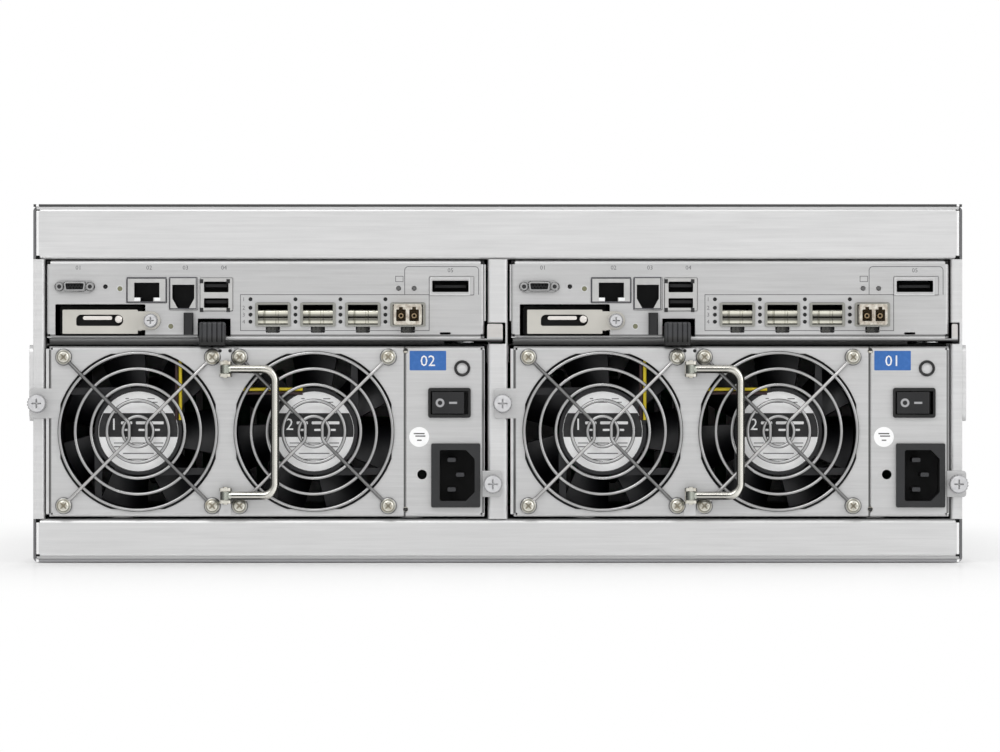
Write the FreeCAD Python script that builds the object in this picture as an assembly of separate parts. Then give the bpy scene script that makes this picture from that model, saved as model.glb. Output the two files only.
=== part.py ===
import FreeCAD, Part
import math
import os

from FreeCAD import Vector

# Rack disk shelf enclosure, 4U, millimetres.
# X runs to the right seen from the rear, Y from the rear towards the front, Z up.
# The origin is the middle of the bounding box at the floor.
# A module is drawn in its own frame: u from its bay's middle line, v from its underside.

# ---- driving dimensions: chassis --------------------------------------------------
chassis_width = 447.0
chassis_height = 172.2
chassis_depth = 507.0
sheet = 1.2                    # chassis sheet
bend = 1.0                     # inside bend radius
top_bar_height = 26.5          # blank panel above the controllers
bottom_bar_height = 20.7       # blank panel under the power supplies
side_column = 5.5              # rear return of each side wall
centre_column = 9.6            # rear face of the centre divider
column_return = 14.0
drive_bay_depth = 195.0        # midplane board to the front plane
board_thickness = 2.4
board_edge_gap = 1.0           # board to the side walls
board_edge_height = 2.0        # board to the sheets above and below it
panel_gap = 0.25               # between chassis sheets that are screwed, not welded
corner_gap = 0.3               # between a sheet and the inside of a bend
lip_depth = 12.0
cover_flange = 10.0
cover_screw = 1.6
cover_screw_head = 3.0
cover_screw_steps = (0.06, 0.29, 0.52, 0.75, 0.97)     # shares of the depth
countersink_gap = 0.1
divider_vent = (36.0, 6.0)     # length, half height
divider_vent_levels = (25.0, 60.0)
divider_vent_pitch = 60.0
divider_vent_count = 4

# ---- modules ----------------------------------------------------------------------
connector_room = 12.0          # module's front end to the midplane board
connector_length = 10.0
module_sheet = 1.0
module_bend = 0.6              # inside radius round a module's rear face
module_edge = 0.4              # outside radius along a module's length
corner_relief = 1.7            # square notch at the corners of a bent face
controller_gap = 1.35          # mean gap each side of a controller
controller_head_gap = 0.7
controller_lift = 2.7          # controller's underside above its shelf
supply_gap = 1.95              # mean gap each side of a supply
supply_shift = 0.6             # the supply sits this far right of the bay's middle line
supply_lift = 1.2              # supply's underside above the chassis ledge
supply_proud = 1.4             # supply face stands this far behind the rear plane
tab_gap = 0.2                  # supply ears to the columns they bear on
shelf_gap = 0.4                # supply to the shelf above it
shelf_sheet = 1.0
shelf_flange = 9.0
shelf_end_gap = 2.0
runner_gap = 0.1               # sliding gap between a module and its runners
runner_sink = 0.2              # runner's root in the sheet that carries it
shelf_runner = (8.0, 12.0)     # width, inset from the controller's side
supply_runner = (12.0, 70.0)   # width, distance from the bay's middle line
controller_connectors = (-60.0, -18.0, 42.0)
controller_connector = (34.0, 10.1, 24.1)              # width, bottom, top
controller_back_window = (-79.0, 61.0, 8.1, 26.1)
supply_connector = (20.0, 78.0, 28.1, 44.1)
supply_back_window = (18.0, 80.0, 26.1, 46.1)

# ---- rack mounting ----------------------------------------------------------------
ear_reach = 17.8               # beyond the side wall
ear_hole_inset = 8.75
rack_hole_spacing_z = 101.6
rack_slot_radius = 3.4
rack_slot_length = 10.3
ear_thickness = 2.0
ear_leg = 60.0
ear_notch = 22.0
ear_screw_steps = (14.0, 38.0)
ear_screw_level = 12.0
rail_thickness = 1.9
rail_height = 36.6
rail_gap = 27.0                # rail's end to the ear's leg
rail_border = 7.0
rail_slots = (0.25, 0.38, 0.62, 0.75)                  # shares of the rail
rail_screws = (0.12, 0.5, 0.88)
wall_screw = 1.6

# ---- drives -----------------------------------------------------------------------
drive_columns = 4
drive_rows = 6
bezel_gap = 0.4
bezel_proud = 6.0
bezel_depth = 16.0
bezel_wall = 2.0
bezel_face = 6.0
bezel_web = 1.5
carrier_rail = 1.6
carrier_length = 160.0
carrier_fit = 0.2              # drive to the carrier's rails
carrier_head = 3.0             # rail's top under the bezel's top
drive_width = 101.6
drive_height = 20.0
drive_length = 147.0
drive_lift = 1.0
drive_lid = (6.0, 26.0, 1.2)   # side border, rear border, rise
ledge_lap = 0.225              # ledge's reach under the carrier rails' inner line
ledge_thickness = 1.5
cage_depth = 176.0
latch_pivot = -46.0            # from the carrier's middle
latch_length = 88.0
latch_height = 17.0
latch_thickness = 3.2
latch_barrel = 1.9
latch_pin = 1.0
latch_axis_depth = 2.0
latch_vents = 3
latch_vent = (18.0, 11.0, 23.0)                        # length, height, pitch
moving_column = 3              # the bay whose carrier is jointed, counted from 0
moving_row = 5

# ---- controller canister ----------------------------------------------------------
hook_half = 4.5
hook_level = 2.2               # middle of the ejector hook
hook_window_margin = 0.6
hook_sweep = 19.0
hook_past_edge = 1.4           # hook's root beyond the canister's side
hook_past_middle = 2.4         # left hook's tip beyond the divider's middle
hook_wall_gap = 1.0            # right hook's tip to the side wall
pivot_inset = 8.0              # lever pivot from the canister's side
pivot_back = 3.0
lever_level = -1.6
lever_thickness = 1.2
lever_pin_head = 0.7
grip = (-31.75, -19.05, -3.7, 7.5)
grip_notch = (-32.55, -16.85, 9.2)
grip_ribs = 5
grip_rib = (0.6, 0.45)         # groove width, depth
squeeze_post = (-39.25, -34.65, 1.4, 12.0)
port_clearance = 0.15
port_lip = 0.6
jack_length = 17.0
jack_depth = 14.0
rj45 = (-66.75, -47.65, 16.9, 28.4)
rj45_mouth = (-63.15, -51.05, 17.4, 26.5)
rj45_step = (2.9, 1.9)         # width, rise
rj12 = (-46.25, -32.75, 13.5, 28.9)
rj12_mouth = (-44.85, -34.25, 14.2, 25.5)
rj12_slope = (2.6, 4.7)        # run, rise
usb = (-31.35, -15.85, 13.0, 28.7)
usb_slots = ((21.9, 27.0), (14.4, 19.0))
usb_mouth = (-29.6, -17.8)
usb_depth = 15.0
usb_length = 18.0
sas = (78.95, 100.15, 20.7, 29.4)
sas_mouth = (80.2, 97.7, 22.0, 27.5)
sas_depth = 19.0
sas_length = 22.0
serial_port = (-91.75, 24.6)
serial_screw = 7.35
serial_shell_half = (4.6, 5.2, 2.0)                    # half widths below and above, half height
serial_bore_half = (4.0, 4.5, 1.5)
serial_hole = (1.5, 0.4, 0.65)                         # pitch, radius, rise of its two rows
reset_hole = (-77.05, 24.6, 1.1)
lamps = ((-70.05, 23.6, 1.3), (-45.55, 5.5, 1.0), (64.05, 23.8, 1.1), (71.55, 23.8, 1.1))
cage_first = 3.55
cage_pitch = 21.65
cage_count = 4
cage_middle = 11.1
cage_collar = (8.5, 5.8)       # half width, half height
cage_outside = (7.6, 5.2)
cage_inside = (7.2, 4.8)
cage_mouth = 0.9               # collar's lip off the rear plane
cage_length = 47.0
cage_tab = (2.7, -8.4, -5.9)   # half width, bottom, top from the cage's middle
cage_tab_slot = (3.35, -8.6, -5.6)
door_top = 2.3                 # dust door's top edge above the cage's middle
door_fit = 0.1
door_thickness = 0.5
door_crown = 1.0               # depth of its two rolled swellings
door_back = 1.6                # crests behind the rear plane
dot_first = -7.25
dot_levels = (18.5, 14.4, 11.1, 7.7)
dot_radius = 0.95
battery_window = (-101.15, -57.85, 16.1)
battery_screw = (-54.95, 8.2)
battery_fit = 0.5
battery_length = 119.0
battery_recess = 10.0          # pack's end behind the rear plane
battery_sill = (3.3, 12.1)
battery_plate = (-97.6, -61.4, 1.9, 13.5)
battery_tongue = 4.5           # half height of the plate's end round the screw
battery_pull = (-79.7, 8.4, 11.3, 2.7)                 # finger recess: middle, half length, half height
battery_bar = (-87.7, -73.7, 8.6, 10.4)
battery_rivet = (-70.6, 8.9, 1.75)
battery_collar = 4.3
battery_screw_radius = 3.4
battery_screw_reach = 9.0
transceiver_reach = 11.5

# ---- power supply: fans -----------------------------------------------------------
fan_size = 79.6
fan_fit = 0.15                 # fan to the case, above and below
fan_depth = 38.0
fan_wall = 1.8
fan_gap = 5.0                  # between the two fans
fan_first = -61.25             # left fan's axis
fan_screw_inset = 4.05
fan_cut_edge = 0.3             # round opening in the case, inside the fan's side
fan_cut_flat = 2.5
fan_flange = 4.5
fan_flare = 1.2
hub_radius = 21.0
blade_tip_gap = 0.9
blade_count = 7
rotor_depth = 28.0
rotor_back = 4.8               # rotor's face behind the frame's
strut_offset = 19.3
strut_height = 2.2
strut_half = 2.0
guard_wire = 0.85              # radius
guard_first_ring = 7.3         # radius
guard_ring_count = 5
guard_edge = 0.2               # outer ring inside the bore
guard_loop = 3.2
guard_gap = 0.05
lead_radius = 0.8
lead_spread = 0.95

# ---- power supply: handle, mains fittings, screws ---------------------------------
handle_rod = 2.0               # radius
handle_shift = -0.05           # hinge axis from the middle between the fans
handle_reach = 23.85
handle_low = 10.1
handle_top_inset = 11.0
handle_bend = 6.0
handle_stand = 6.0             # rod's middle line off the supply's face
knuckle_wall = 0.5
knuckle_half = 1.9
bracket_half = 2.8
bracket_gap = 0.3              # knuckle to the bracket's ears
bracket_ear = 1.5
bracket_foot = 1.0
hinge_pin = 1.2
hinge_clearance = 0.05
seam = 67.45
seam_groove = (0.3, 0.5)       # half width, depth
inlet_u = (79.75, 103.35)
inlet_height = 30.8
inlet_flange = 2.4
inlet_depth = 16.5
inlet_body = 21.0
inlet_mouth = (4.1, 2.7, 3.1, 3.2)                     # borders: left, right, bottom, top
inlet_chamfer = 4.2
inlet_pins = ((9.8, 22.8), (9.8, 8.6), (13.9, 15.7))   # from the inlet's lower left corner
inlet_pin = (4.0, 2.0, 14.0)   # width, height, length
rocker_u = (78.25, 98.75)
rocker_height = 14.4
rocker_half = 8.0
rocker_tilt = 8.0
rocker_axis = 2.0              # behind the supply's face
rocker_proud = 2.2
rocker_room = 1.05
rocker_pin = 1.3               # radius
rocker_pin_gap = 0.1
lamp_u = 94.65
lamp_radius = 3.9
stack_shares = (0.1523, 0.4256, 0.1903)                # of the free height, from the bottom
spare_hole = (75.35, 20.2, 2.3)
vent_slots = 10
vent_slot = (60.0, 2.9, 9.5)   # length, half width, pitch
thumb_radius = 4.6
thumb_reach = 12.0             # off the rear plane
thumb_shank = 1.5
thumb_length = 6.0
shank_clearance = 0.15
ear_hole_gap = 0.3
thumb_from_divider = 2.35
thumb_upper = 54.4
thumb_lower = 15.7
ear_half_upper = 7.2
ear_half_lower = 6.3
ear_past_screw = 4.2
screw_head = 3.5
screw_head_height = 1.9

# ---- places worked out from the above ---------------------------------------------
rear_reach = max(thumb_reach, supply_proud + handle_stand + handle_rod, transceiver_reach)
rear = rear_reach - (chassis_depth + rear_reach + bezel_proud) / 2
front = rear + chassis_depth
midplane = front - drive_bay_depth
module_depth = chassis_depth - drive_bay_depth - connector_room
half = chassis_width / 2
wall_inside = half - sheet
bay_top = chassis_height - top_bar_height
bay_bottom = bottom_bar_height
bay_middle = chassis_width / 4
bay_width = half - side_column - centre_column / 2
face = rear - supply_proud
fan_face = face + module_sheet + module_bend - fan_fit

controller_width = bay_width - 2 * controller_gap
supply_width = bay_width - 2 * supply_gap
supply_height = fan_size + 2 * module_sheet + 2 * fan_fit
supply_bottom = bay_bottom + supply_lift
supply_top = supply_bottom + supply_height
shelf_bottom = supply_top + shelf_gap
shelf_top = shelf_bottom + shelf_sheet
controller_bottom = shelf_top + controller_lift
controller_height = bay_top - controller_head_gap - controller_bottom

rack_width = chassis_width + 2 * ear_reach
rack_hole_spacing_x = rack_width - 2 * ear_hole_inset
rail_length = chassis_depth - ear_leg - rail_gap
rail_middle = chassis_height / 2
rail_bottom = rail_middle - rail_height / 2
rail_top = rail_middle + rail_height / 2

cell_width = (chassis_width - 2 * sheet) / drive_columns
row_margin = ledge_thickness / 2 + bend + corner_gap
row_pitch = (chassis_height - 2 * sheet - 2 * row_margin) / drive_rows
ledge_width = cell_width / 2 - drive_width / 2 + ledge_lap

fan_bore = fan_size / 2 - fan_wall
fan_screw = fan_size / 2 - fan_screw_inset
fan_centres = (fan_first, fan_first + fan_size + fan_gap)
fan_height = supply_height / 2
guard_pitch = (fan_bore - guard_edge - guard_first_ring) / (guard_ring_count - 1)
guard_rings = [guard_first_ring + guard_pitch * k for k in range(guard_ring_count)]

handle_pivot = fan_first + (fan_size + fan_gap) / 2 + handle_shift
handle_high = supply_height - handle_top_inset
free_height = supply_height - inlet_height - rocker_height - 2 * lamp_radius
inlet_v = free_height * stack_shares[0]
rocker_v = inlet_v + inlet_height + free_height * stack_shares[1]
lamp_v = rocker_v + rocker_height + free_height * stack_shares[2] + lamp_radius
inlet = (inlet_u[0], inlet_u[1], inlet_v, inlet_v + inlet_height)
rocker_frame = (rocker_u[0], rocker_u[1], rocker_v, rocker_v + rocker_height)
thumb_offset = bay_middle - thumb_from_divider

pivot_offset = controller_width / 2 - pivot_inset
hook_start = controller_width / 2 + hook_past_edge
hook_tip_left = bay_middle + hook_past_middle
hook_tip_right = wall_inside - hook_wall_gap - bay_middle


# ---- shape helpers ----------------------------------------------------------------
def block(x0, x1, y0, y1, z0, z1):
    return Part.makeBox(x1 - x0, y1 - y0, z1 - z0, Vector(x0, y0, z0))


def rod_y(x, z, radius, y0, y1):
    return Part.makeCylinder(radius, y1 - y0, Vector(x, y0, z), Vector(0, 1, 0))


def rod_z(x, y, radius, z0, z1):
    return Part.makeCylinder(radius, z1 - z0, Vector(x, y, z0), Vector(0, 0, 1))


def join(shapes):
    """Fuses touching solids into one and drops the seams between flat faces."""
    return shapes[0].multiFuse(shapes[1:]).removeSplitter()


def group(shapes):
    """Keeps separate pieces side by side in one node."""
    return Part.makeCompound(shapes)


def place_xz(u, v, w):
    return Vector(u, w, v)


def place_xy(u, v, w):
    return Vector(u, v, w)


def place_yz(u, v, w):
    return Vector(w, u, v)


def outline(corners, place, level):
    """Closed wire through corners (u, v) or (u, v, radius), the latter rounded."""
    count = len(corners)
    edges = []
    ends = []
    for i in range(count):
        here = Vector(corners[i][0], corners[i][1], 0)
        before = Vector(corners[i - 1][0], corners[i - 1][1], 0)
        after = Vector(corners[(i + 1) % count][0], corners[(i + 1) % count][1], 0)
        radius = corners[i][2] if len(corners[i]) > 2 else 0
        back = (before - here).normalize()
        ahead = (after - here).normalize()
        if radius <= 0:
            ends.append((here, None, here))
            continue
        half_angle = back.getAngle(ahead) / 2
        run = radius / math.tan(half_angle)
        middle = (back + ahead).normalize()
        centre = here + middle * (radius / math.sin(half_angle))
        ends.append((here + back * run, centre - middle * radius, here + ahead * run))

    def at(p):
        return place(p.x, p.y, level)

    for i in range(count):
        start, crest, finish = ends[i]
        if crest is not None:
            edges.append(Part.Arc(at(start), at(crest), at(finish)).toShape())
        following = ends[(i + 1) % count][0]
        if (following - finish).Length > 1e-6:
            edges.append(Part.LineSegment(at(finish), at(following)).toShape())
    return Part.Wire(edges)


def prism(corners, place, level0, level1):
    """Extrudes a rounded outline."""
    return Part.Face(outline(corners, place, level0)).extrude(place(0, 0, level1 - level0))


def rectangle(u0, u1, v0, v1, radius=0.0):
    return [(u0, v0, radius), (u1, v0, radius), (u1, v1, radius), (u0, v1, radius)]


def plate(u0, u1, v0, v1, y0, y1, radius=0.0):
    """Upright plate facing Y with rounded corners."""
    return prism(rectangle(u0, u1, v0, v1, radius), place_xz, y0, y1)


def plate_flat(x0, x1, y0, y1, z0, z1, radius):
    """Level plate with rounded corners."""
    return prism(rectangle(x0, x1, y0, y1, radius), place_xy, z0, z1)


def slot_outline(u, v, length, radius):
    side = length / 2
    return rectangle(u - side, u + side, v - radius, v + radius, radius * 0.999)


def folded(path, thickness, place, level0, level1, inside=bend):
    """Sheet bent along a path of its middle line and extruded to a width."""
    left = []
    right = []
    last = len(path) - 1
    for i, (u, v) in enumerate(path):
        here = Vector(u, v, 0)
        into = None
        out = None
        if i > 0:
            into = (here - Vector(path[i - 1][0], path[i - 1][1], 0)).normalize()
        if i < last:
            out = (Vector(path[i + 1][0], path[i + 1][1], 0) - here).normalize()
        if into is None or out is None:
            run = into or out
            side = Vector(-run.y, run.x, 0) * (thickness / 2)
            left.append((here.x + side.x, here.y + side.y))
            right.append((here.x - side.x, here.y - side.y))
            continue
        turn = into.x * out.y - into.y * out.x
        normal_in = Vector(-into.y, into.x, 0)
        normal_out = Vector(-out.y, out.x, 0)
        mitre = (normal_in + normal_out).normalize()
        reach = thickness / 2 / mitre.dot(normal_in)
        radius_left = inside if turn > 0 else inside + thickness
        radius_right = inside + thickness if turn > 0 else inside
        left.append((here.x + mitre.x * reach, here.y + mitre.y * reach, radius_left))
        right.append((here.x - mitre.x * reach, here.y - mitre.y * reach, radius_right))
    return prism(left + right[::-1], place, level0, level1)


def turned(profile, x, z):
    """Solid of revolution about the Y axis through (x, z); profile is (radius, y)."""
    points = [Vector(x + r, y, z) for r, y in profile]
    wire = Part.makePolygon(points + [points[0]])
    return Part.Face(wire).revolve(Vector(x, 0, z), Vector(0, 1, 0), 360)


def cross_recess(x, z, y, size, depth):
    """Cross-head recess cut into a screw head whose crown is at y."""
    arm = size * 0.3
    one = block(x - size, x + size, y - 1, y + depth, z - arm / 2, z + arm / 2)
    two = block(x - arm / 2, x + arm / 2, y - 1, y + depth, z - size, z + size)
    return one.fuse(two)


def screw_y(x, z, seat, radius, height, shank, length):
    """Pan-head screw driven along +Y; seat is the y of the surface under its head."""
    crown = seat - height
    head = turned([(0, crown), (radius * 0.55, crown), (radius, crown + height * 0.55),
                   (radius, seat), (shank, seat), (shank, seat + length), (0, seat + length)], x, z)
    return head.cut(cross_recess(x, z, crown, radius * 0.55, height * 0.5))


def pipe(points, radius, bend_radius=None):
    """Round rod along straight runs joined by tangent arcs."""
    edges = []
    start = points[0]
    for i in range(1, len(points) - 1):
        here = points[i]
        back = (points[i - 1] - here).normalize()
        ahead = (points[i + 1] - here).normalize()
        half_turn = (math.pi - back.getAngle(ahead)) / 2
        shorter = min((points[i - 1] - here).Length, (points[i + 1] - here).Length)
        turn_radius = bend_radius or 0.45 * shorter / math.tan(half_turn)
        run = turn_radius * math.tan(half_turn)
        middle = (back + ahead).normalize()
        crest = here + middle * (turn_radius / math.cos(half_turn) - turn_radius)
        enter = here + back * run
        leave = here + ahead * run
        edges.append(Part.LineSegment(start, enter).toShape())
        edges.append(Part.Arc(enter, crest, leave).toShape())
        start = leave
    edges.append(Part.LineSegment(start, points[-1]).toShape())
    path = Part.Wire(edges)
    section = Part.Wire([Part.makeCircle(radius, points[0], points[1] - points[0])])
    return path.makePipeShell([section], True, False)


def moved(shape, x, z):
    copy = shape.copy()
    copy.translate(Vector(x, 0, z))
    return copy


def relieved(shape, x0, x1, z0, z1, y0):
    """Cuts the bend reliefs at the four corners of a face at y0."""
    size = corner_relief
    deep = y0 + bend + sheet
    for x in (x0, x1 - size):
        for z in (z0, z1 - size):
            shape = shape.cut(block(x - (x == x0), x + size + (x != x0), y0 - 1, deep,
                                    z - (z == z0), z + size + (z != z0)))
    return shape


# ---- chassis ----------------------------------------------------------------------
def thumb_holes(shape):
    """Holes in the rear columns for the supplies' captive screws."""
    radius = thumb_shank + shank_clearance
    end = rear + column_return / 2
    for middle in (-bay_middle, bay_middle):
        upper = rod_y(middle - thumb_offset, supply_bottom + thumb_upper, radius, rear - 1, end)
        lower = rod_y(middle + thumb_offset, supply_bottom + thumb_lower, radius, rear - 1, end)
        shape = shape.cut(upper).cut(lower)
    return shape


def hook_window(x0, x1):
    middle = controller_bottom + hook_level
    reach = hook_half + hook_window_margin
    return block(x0, x1, rear - 1, rear + hook_sweep, middle - reach, middle + reach)


def chassis_base():
    wall = half - sheet / 2
    under_cover = chassis_height - sheet * 1.5
    path = [(-half + cover_flange, under_cover), (-wall, under_cover), (-wall, sheet / 2),
            (wall, sheet / 2), (wall, under_cover), (half - cover_flange, under_cover)]
    body = folded(path, sheet, place_xz, rear, front)
    for side in (-1, 1):
        edge = side * (half - side_column + sheet / 2)
        column = folded([(side * wall, rear + column_return), (side * wall, rear + sheet / 2),
                         (edge, rear + sheet / 2), (edge, rear + column_return)],
                        sheet, place_xy, bay_bottom, bay_top, bend / 2)
        body = body.fuse(column)
        inner = sorted((side * (wall_inside - 0.01), side * (half - cover_flange - 1)))
        body = body.cut(block(inner[0], inner[1], rear - 1, rear + lip_depth + panel_gap,
                              chassis_height - 4 * sheet, chassis_height))
    body = body.cut(hook_window(half - side_column - 1, wall_inside - 0.1))
    for side in (-1, 1):
        for share in rail_screws:
            start = Vector(side * (half + 1), rear + rail_length * share, rail_middle)
            body = body.cut(Part.makeCylinder(wall_screw, 4 * sheet, start, Vector(-side, 0, 0)))
    return thumb_holes(body.removeSplitter())


def top_cover():
    z0 = chassis_height - sheet
    lid = plate_flat(-half, half, rear, front, z0, chassis_height, bend)
    for x, y in cover_screw_places():
        lid = lid.cut(Part.makeCone(cover_screw + countersink_gap, cover_screw_head + countersink_gap,
                                    sheet, Vector(x, y, z0), Vector(0, 0, 1)))
    return lid


def cover_screw_places():
    places = []
    for side in (-1, 1):
        for share in cover_screw_steps:
            places.append((side * (half - cover_flange * 0.6), rear + chassis_depth * share))
    return places


def rear_top_panel():
    width = wall_inside - panel_gap
    high = chassis_height - sheet * 1.5 - panel_gap
    low = bay_top + sheet / 2
    back = rear + sheet / 2
    panel = folded([(rear + lip_depth, high), (back, high), (back, low),
                    (midplane - panel_gap, low)], sheet, place_yz, -width, width)
    return relieved(panel, -width, width, low - sheet / 2, high + sheet / 2, rear)


def rear_bottom_panel():
    width = wall_inside - panel_gap
    low = sheet * 1.5 + bend * 0.6 + panel_gap
    high = bay_bottom - sheet / 2
    back = rear + sheet / 2
    panel = folded([(rear + lip_depth, low), (back, low), (back, high),
                    (midplane - panel_gap, high)], sheet, place_yz, -width, width)
    return relieved(panel, -width, width, low - sheet / 2, high + sheet / 2, rear)


def centre_divider():
    side = centre_column / 2 - sheet / 2
    end = midplane - panel_gap
    body = folded([(-side, end), (-side, rear + sheet / 2), (side, rear + sheet / 2), (side, end)],
                  sheet, place_xy, bay_bottom, bay_top, bend / 2)
    body = body.cut(hook_window(-centre_column / 2 - 1, centre_column / 2 - sheet * 0.9))
    for level in divider_vent_levels:
        for step in range(divider_vent_count):
            y = rear + divider_vent_pitch * (step + 1)
            body = body.cut(prism(slot_outline(y, bay_bottom + level, *divider_vent), place_yz,
                                  -centre_column, centre_column))
    return thumb_holes(body)


def bay_shelf(side):
    """Shelf between a supply and a controller, riveted to the wall and the divider."""
    outer = side * (wall_inside - shelf_sheet / 2)
    inner = side * (centre_column / 2 + shelf_sheet / 2)
    drop = shelf_top - shelf_flange
    level = shelf_bottom + shelf_sheet / 2
    start = rear + column_return + shelf_end_gap
    end = midplane - connector_room - shelf_end_gap
    body = folded([(outer, drop), (outer, level), (inner, level), (inner, drop)],
                  shelf_sheet, place_xz, start, end, bend / 2)
    middle = side * bay_middle
    width, inset = shelf_runner
    for offset in (inset - controller_width / 2, controller_width / 2 - inset):
        runner = plate_flat(middle + offset - width / 2, middle + offset + width / 2,
                            start + column_return, end - shelf_flange, shelf_top - runner_sink,
                            controller_bottom - runner_gap, width * 0.44)
        body = body.fuse(runner)
    return body


def midplane_board():
    width = wall_inside - board_edge_gap
    board = block(-width, width, midplane, midplane + board_thickness, sheet + board_edge_height,
                  chassis_height - sheet - board_edge_height)
    for column in range(drive_columns):
        for row in range(1, drive_rows, 2):
            x, z = cell_middle(column, row)
            hole = prism(slot_outline(x, z, cell_width * 0.7, row_pitch / 8), place_xz,
                         midplane - 1, midplane + board_thickness + 1)
            board = board.cut(hole)
    return board


def cell_middle(column, row):
    """Middle of a drive bay and the height of the ledges that carry its drive."""
    x = -half + sheet + cell_width * (column + 0.5)
    z = sheet + row_margin + row_pitch * row
    return x, z


def midplane_connectors():
    pieces = []
    start = midplane - connector_length
    width, low, high = controller_connector
    left, right, bottom, top = supply_connector
    for middle in (-bay_middle, bay_middle):
        for offset in controller_connectors:
            pieces.append(plate(middle + offset - width / 2, middle + offset + width / 2,
                                controller_bottom + low, controller_bottom + high,
                                start, midplane, 1.0))
        pieces.append(plate(middle + left, middle + right, supply_bottom + bottom,
                            supply_bottom + top, start, midplane, 1.0))
    board_face = midplane + board_thickness
    for column in range(drive_columns):
        for row in range(drive_rows):
            x, z = cell_middle(column, row)
            pieces.append(block(x - 42, x - 1, board_face, board_face + 7, z + 7.5, z + 13))
    return group(pieces)


def drive_cage():
    """Upright sheets between the drive columns, with a ledge under each drive."""
    pieces = []
    deep = front - cage_depth
    low = sheet + bend + corner_gap
    high = chassis_height - 2 * sheet - bend - corner_gap
    behind_bezels = front + bezel_proud - bezel_depth - 1
    for column in range(drive_columns + 1):
        x = -half + sheet + cell_width * column
        if column == 0:
            sheet_piece = block(x, x + sheet, deep, behind_bezels, low, high)
        elif column == drive_columns:
            sheet_piece = block(x - sheet, x, deep, behind_bezels, low, high)
        else:
            sheet_piece = block(x - sheet / 2, x + sheet / 2, deep, front - 1, sheet,
                                chassis_height - sheet)
        ledges = [sheet_piece]
        for row in range(drive_rows):
            z = sheet + row_margin + row_pitch * row
            left = x - ledge_width if column > 0 else x
            right = x + ledge_width if column < drive_columns else x
            ledges.append(plate_flat(left, right, deep + 4, front - bezel_depth - 2,
                                     z - ledge_thickness / 2, z + ledge_thickness / 2, 2.0))
        pieces.append(join(ledges))
    return group(pieces)


def rack_ear(side):
    inner = half if side > 0 else -half
    leg = inner + side * ear_thickness / 2
    tip = side * rack_width / 2
    body = folded([(leg, front - ear_leg), (leg, front - ear_thickness / 2),
                   (tip, front - ear_thickness / 2)], ear_thickness, place_xy, 0, chassis_height)
    for up in (-1, 1):
        z = chassis_height / 2 + up * rack_hole_spacing_z / 2
        x = side * rack_hole_spacing_x / 2
        body = body.cut(prism(slot_outline(x, z, rack_slot_length, rack_slot_radius), place_xz,
                              front - 10, front + 10))
    start = front - ear_leg
    notch = prism([(start - 1, ear_notch, 0), (start + ear_notch, ear_notch, 8),
                   (start + ear_notch, chassis_height - ear_notch, 8),
                   (start - 1, chassis_height - ear_notch, 0)],
                  place_yz, min(inner, tip), max(inner, tip))
    return body.cut(notch)


def side_rail(side):
    """Inner slide member screwed to the side wall, with rolled edges."""
    x0, x1 = sorted((side * half, side * (half + rail_thickness)))
    body = prism(rectangle(rear, rear + rail_length, rail_bottom, rail_top, 4.0), place_yz, x0, x1)
    step0, step1 = sorted((side * (half + rail_thickness * 0.5), side * (half + rail_thickness + 1)))
    groove = prism(rectangle(rear + rail_border, rear + rail_length - rail_border,
                             rail_bottom + rail_border, rail_top - rail_border, 3.0),
                   place_yz, step0, step1)
    body = body.cut(groove)
    for share in rail_slots:
        slot = slot_outline(rear + rail_length * share, rail_middle, rail_height * 0.6, 4)
        body = body.cut(prism(slot, place_yz, x0 - 1, x1 + 1))
    for share in rail_screws:
        start = Vector(x0 - 1, rear + rail_length * share, rail_middle)
        body = body.cut(Part.makeCylinder(wall_screw, rail_thickness + 2, start, Vector(1, 0, 0)))
    return body


def screw_at(x, y, z, direction, radius, height):
    """Low round-head screw lying on a wall, its head pointing along direction."""
    head = turned([(0, 0), (radius, 0), (radius, -height * 0.4), (radius * 0.6, -height),
                   (0, -height)], 0, 0)
    head = head.cut(cross_recess(0, 0, -height, radius * 0.55, height * 0.6))
    turn = FreeCAD.Rotation(Vector(0, -1, 0), direction)
    head.Placement = FreeCAD.Placement(Vector(x, y, z), turn)
    return head


def countersunk(x, y):
    """Flat-head screw in the cover, with a cross recess."""
    top = chassis_height - countersink_gap / 2
    head = Part.makeCone(cover_screw, cover_screw_head, sheet - countersink_gap,
                         Vector(x, y, top - sheet + countersink_gap), Vector(0, 0, 1))
    arm = cover_screw_head * 0.55
    for wide, long in ((arm, arm / 4), (arm / 4, arm)):
        head = head.cut(block(x - wide, x + wide, y - long, y + long, top - sheet / 2, top + 1))
    return head


def chassis_screws():
    pieces = []
    for x, y in cover_screw_places():
        pieces.append(countersunk(x, y))
    for side in (-1, 1):
        out = Vector(side, 0, 0)
        for z in (ear_screw_level, chassis_height - ear_screw_level):
            for back in ear_screw_steps:
                pieces.append(screw_at(side * (half + ear_thickness), front - back, z, out, 3.4, 1.6))
        for share in rail_screws:
            pieces.append(screw_at(side * (half + rail_thickness * 0.5), rear + rail_length * share,
                                   rail_middle, out, 3.2, 1.4))
    return group(pieces)


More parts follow.
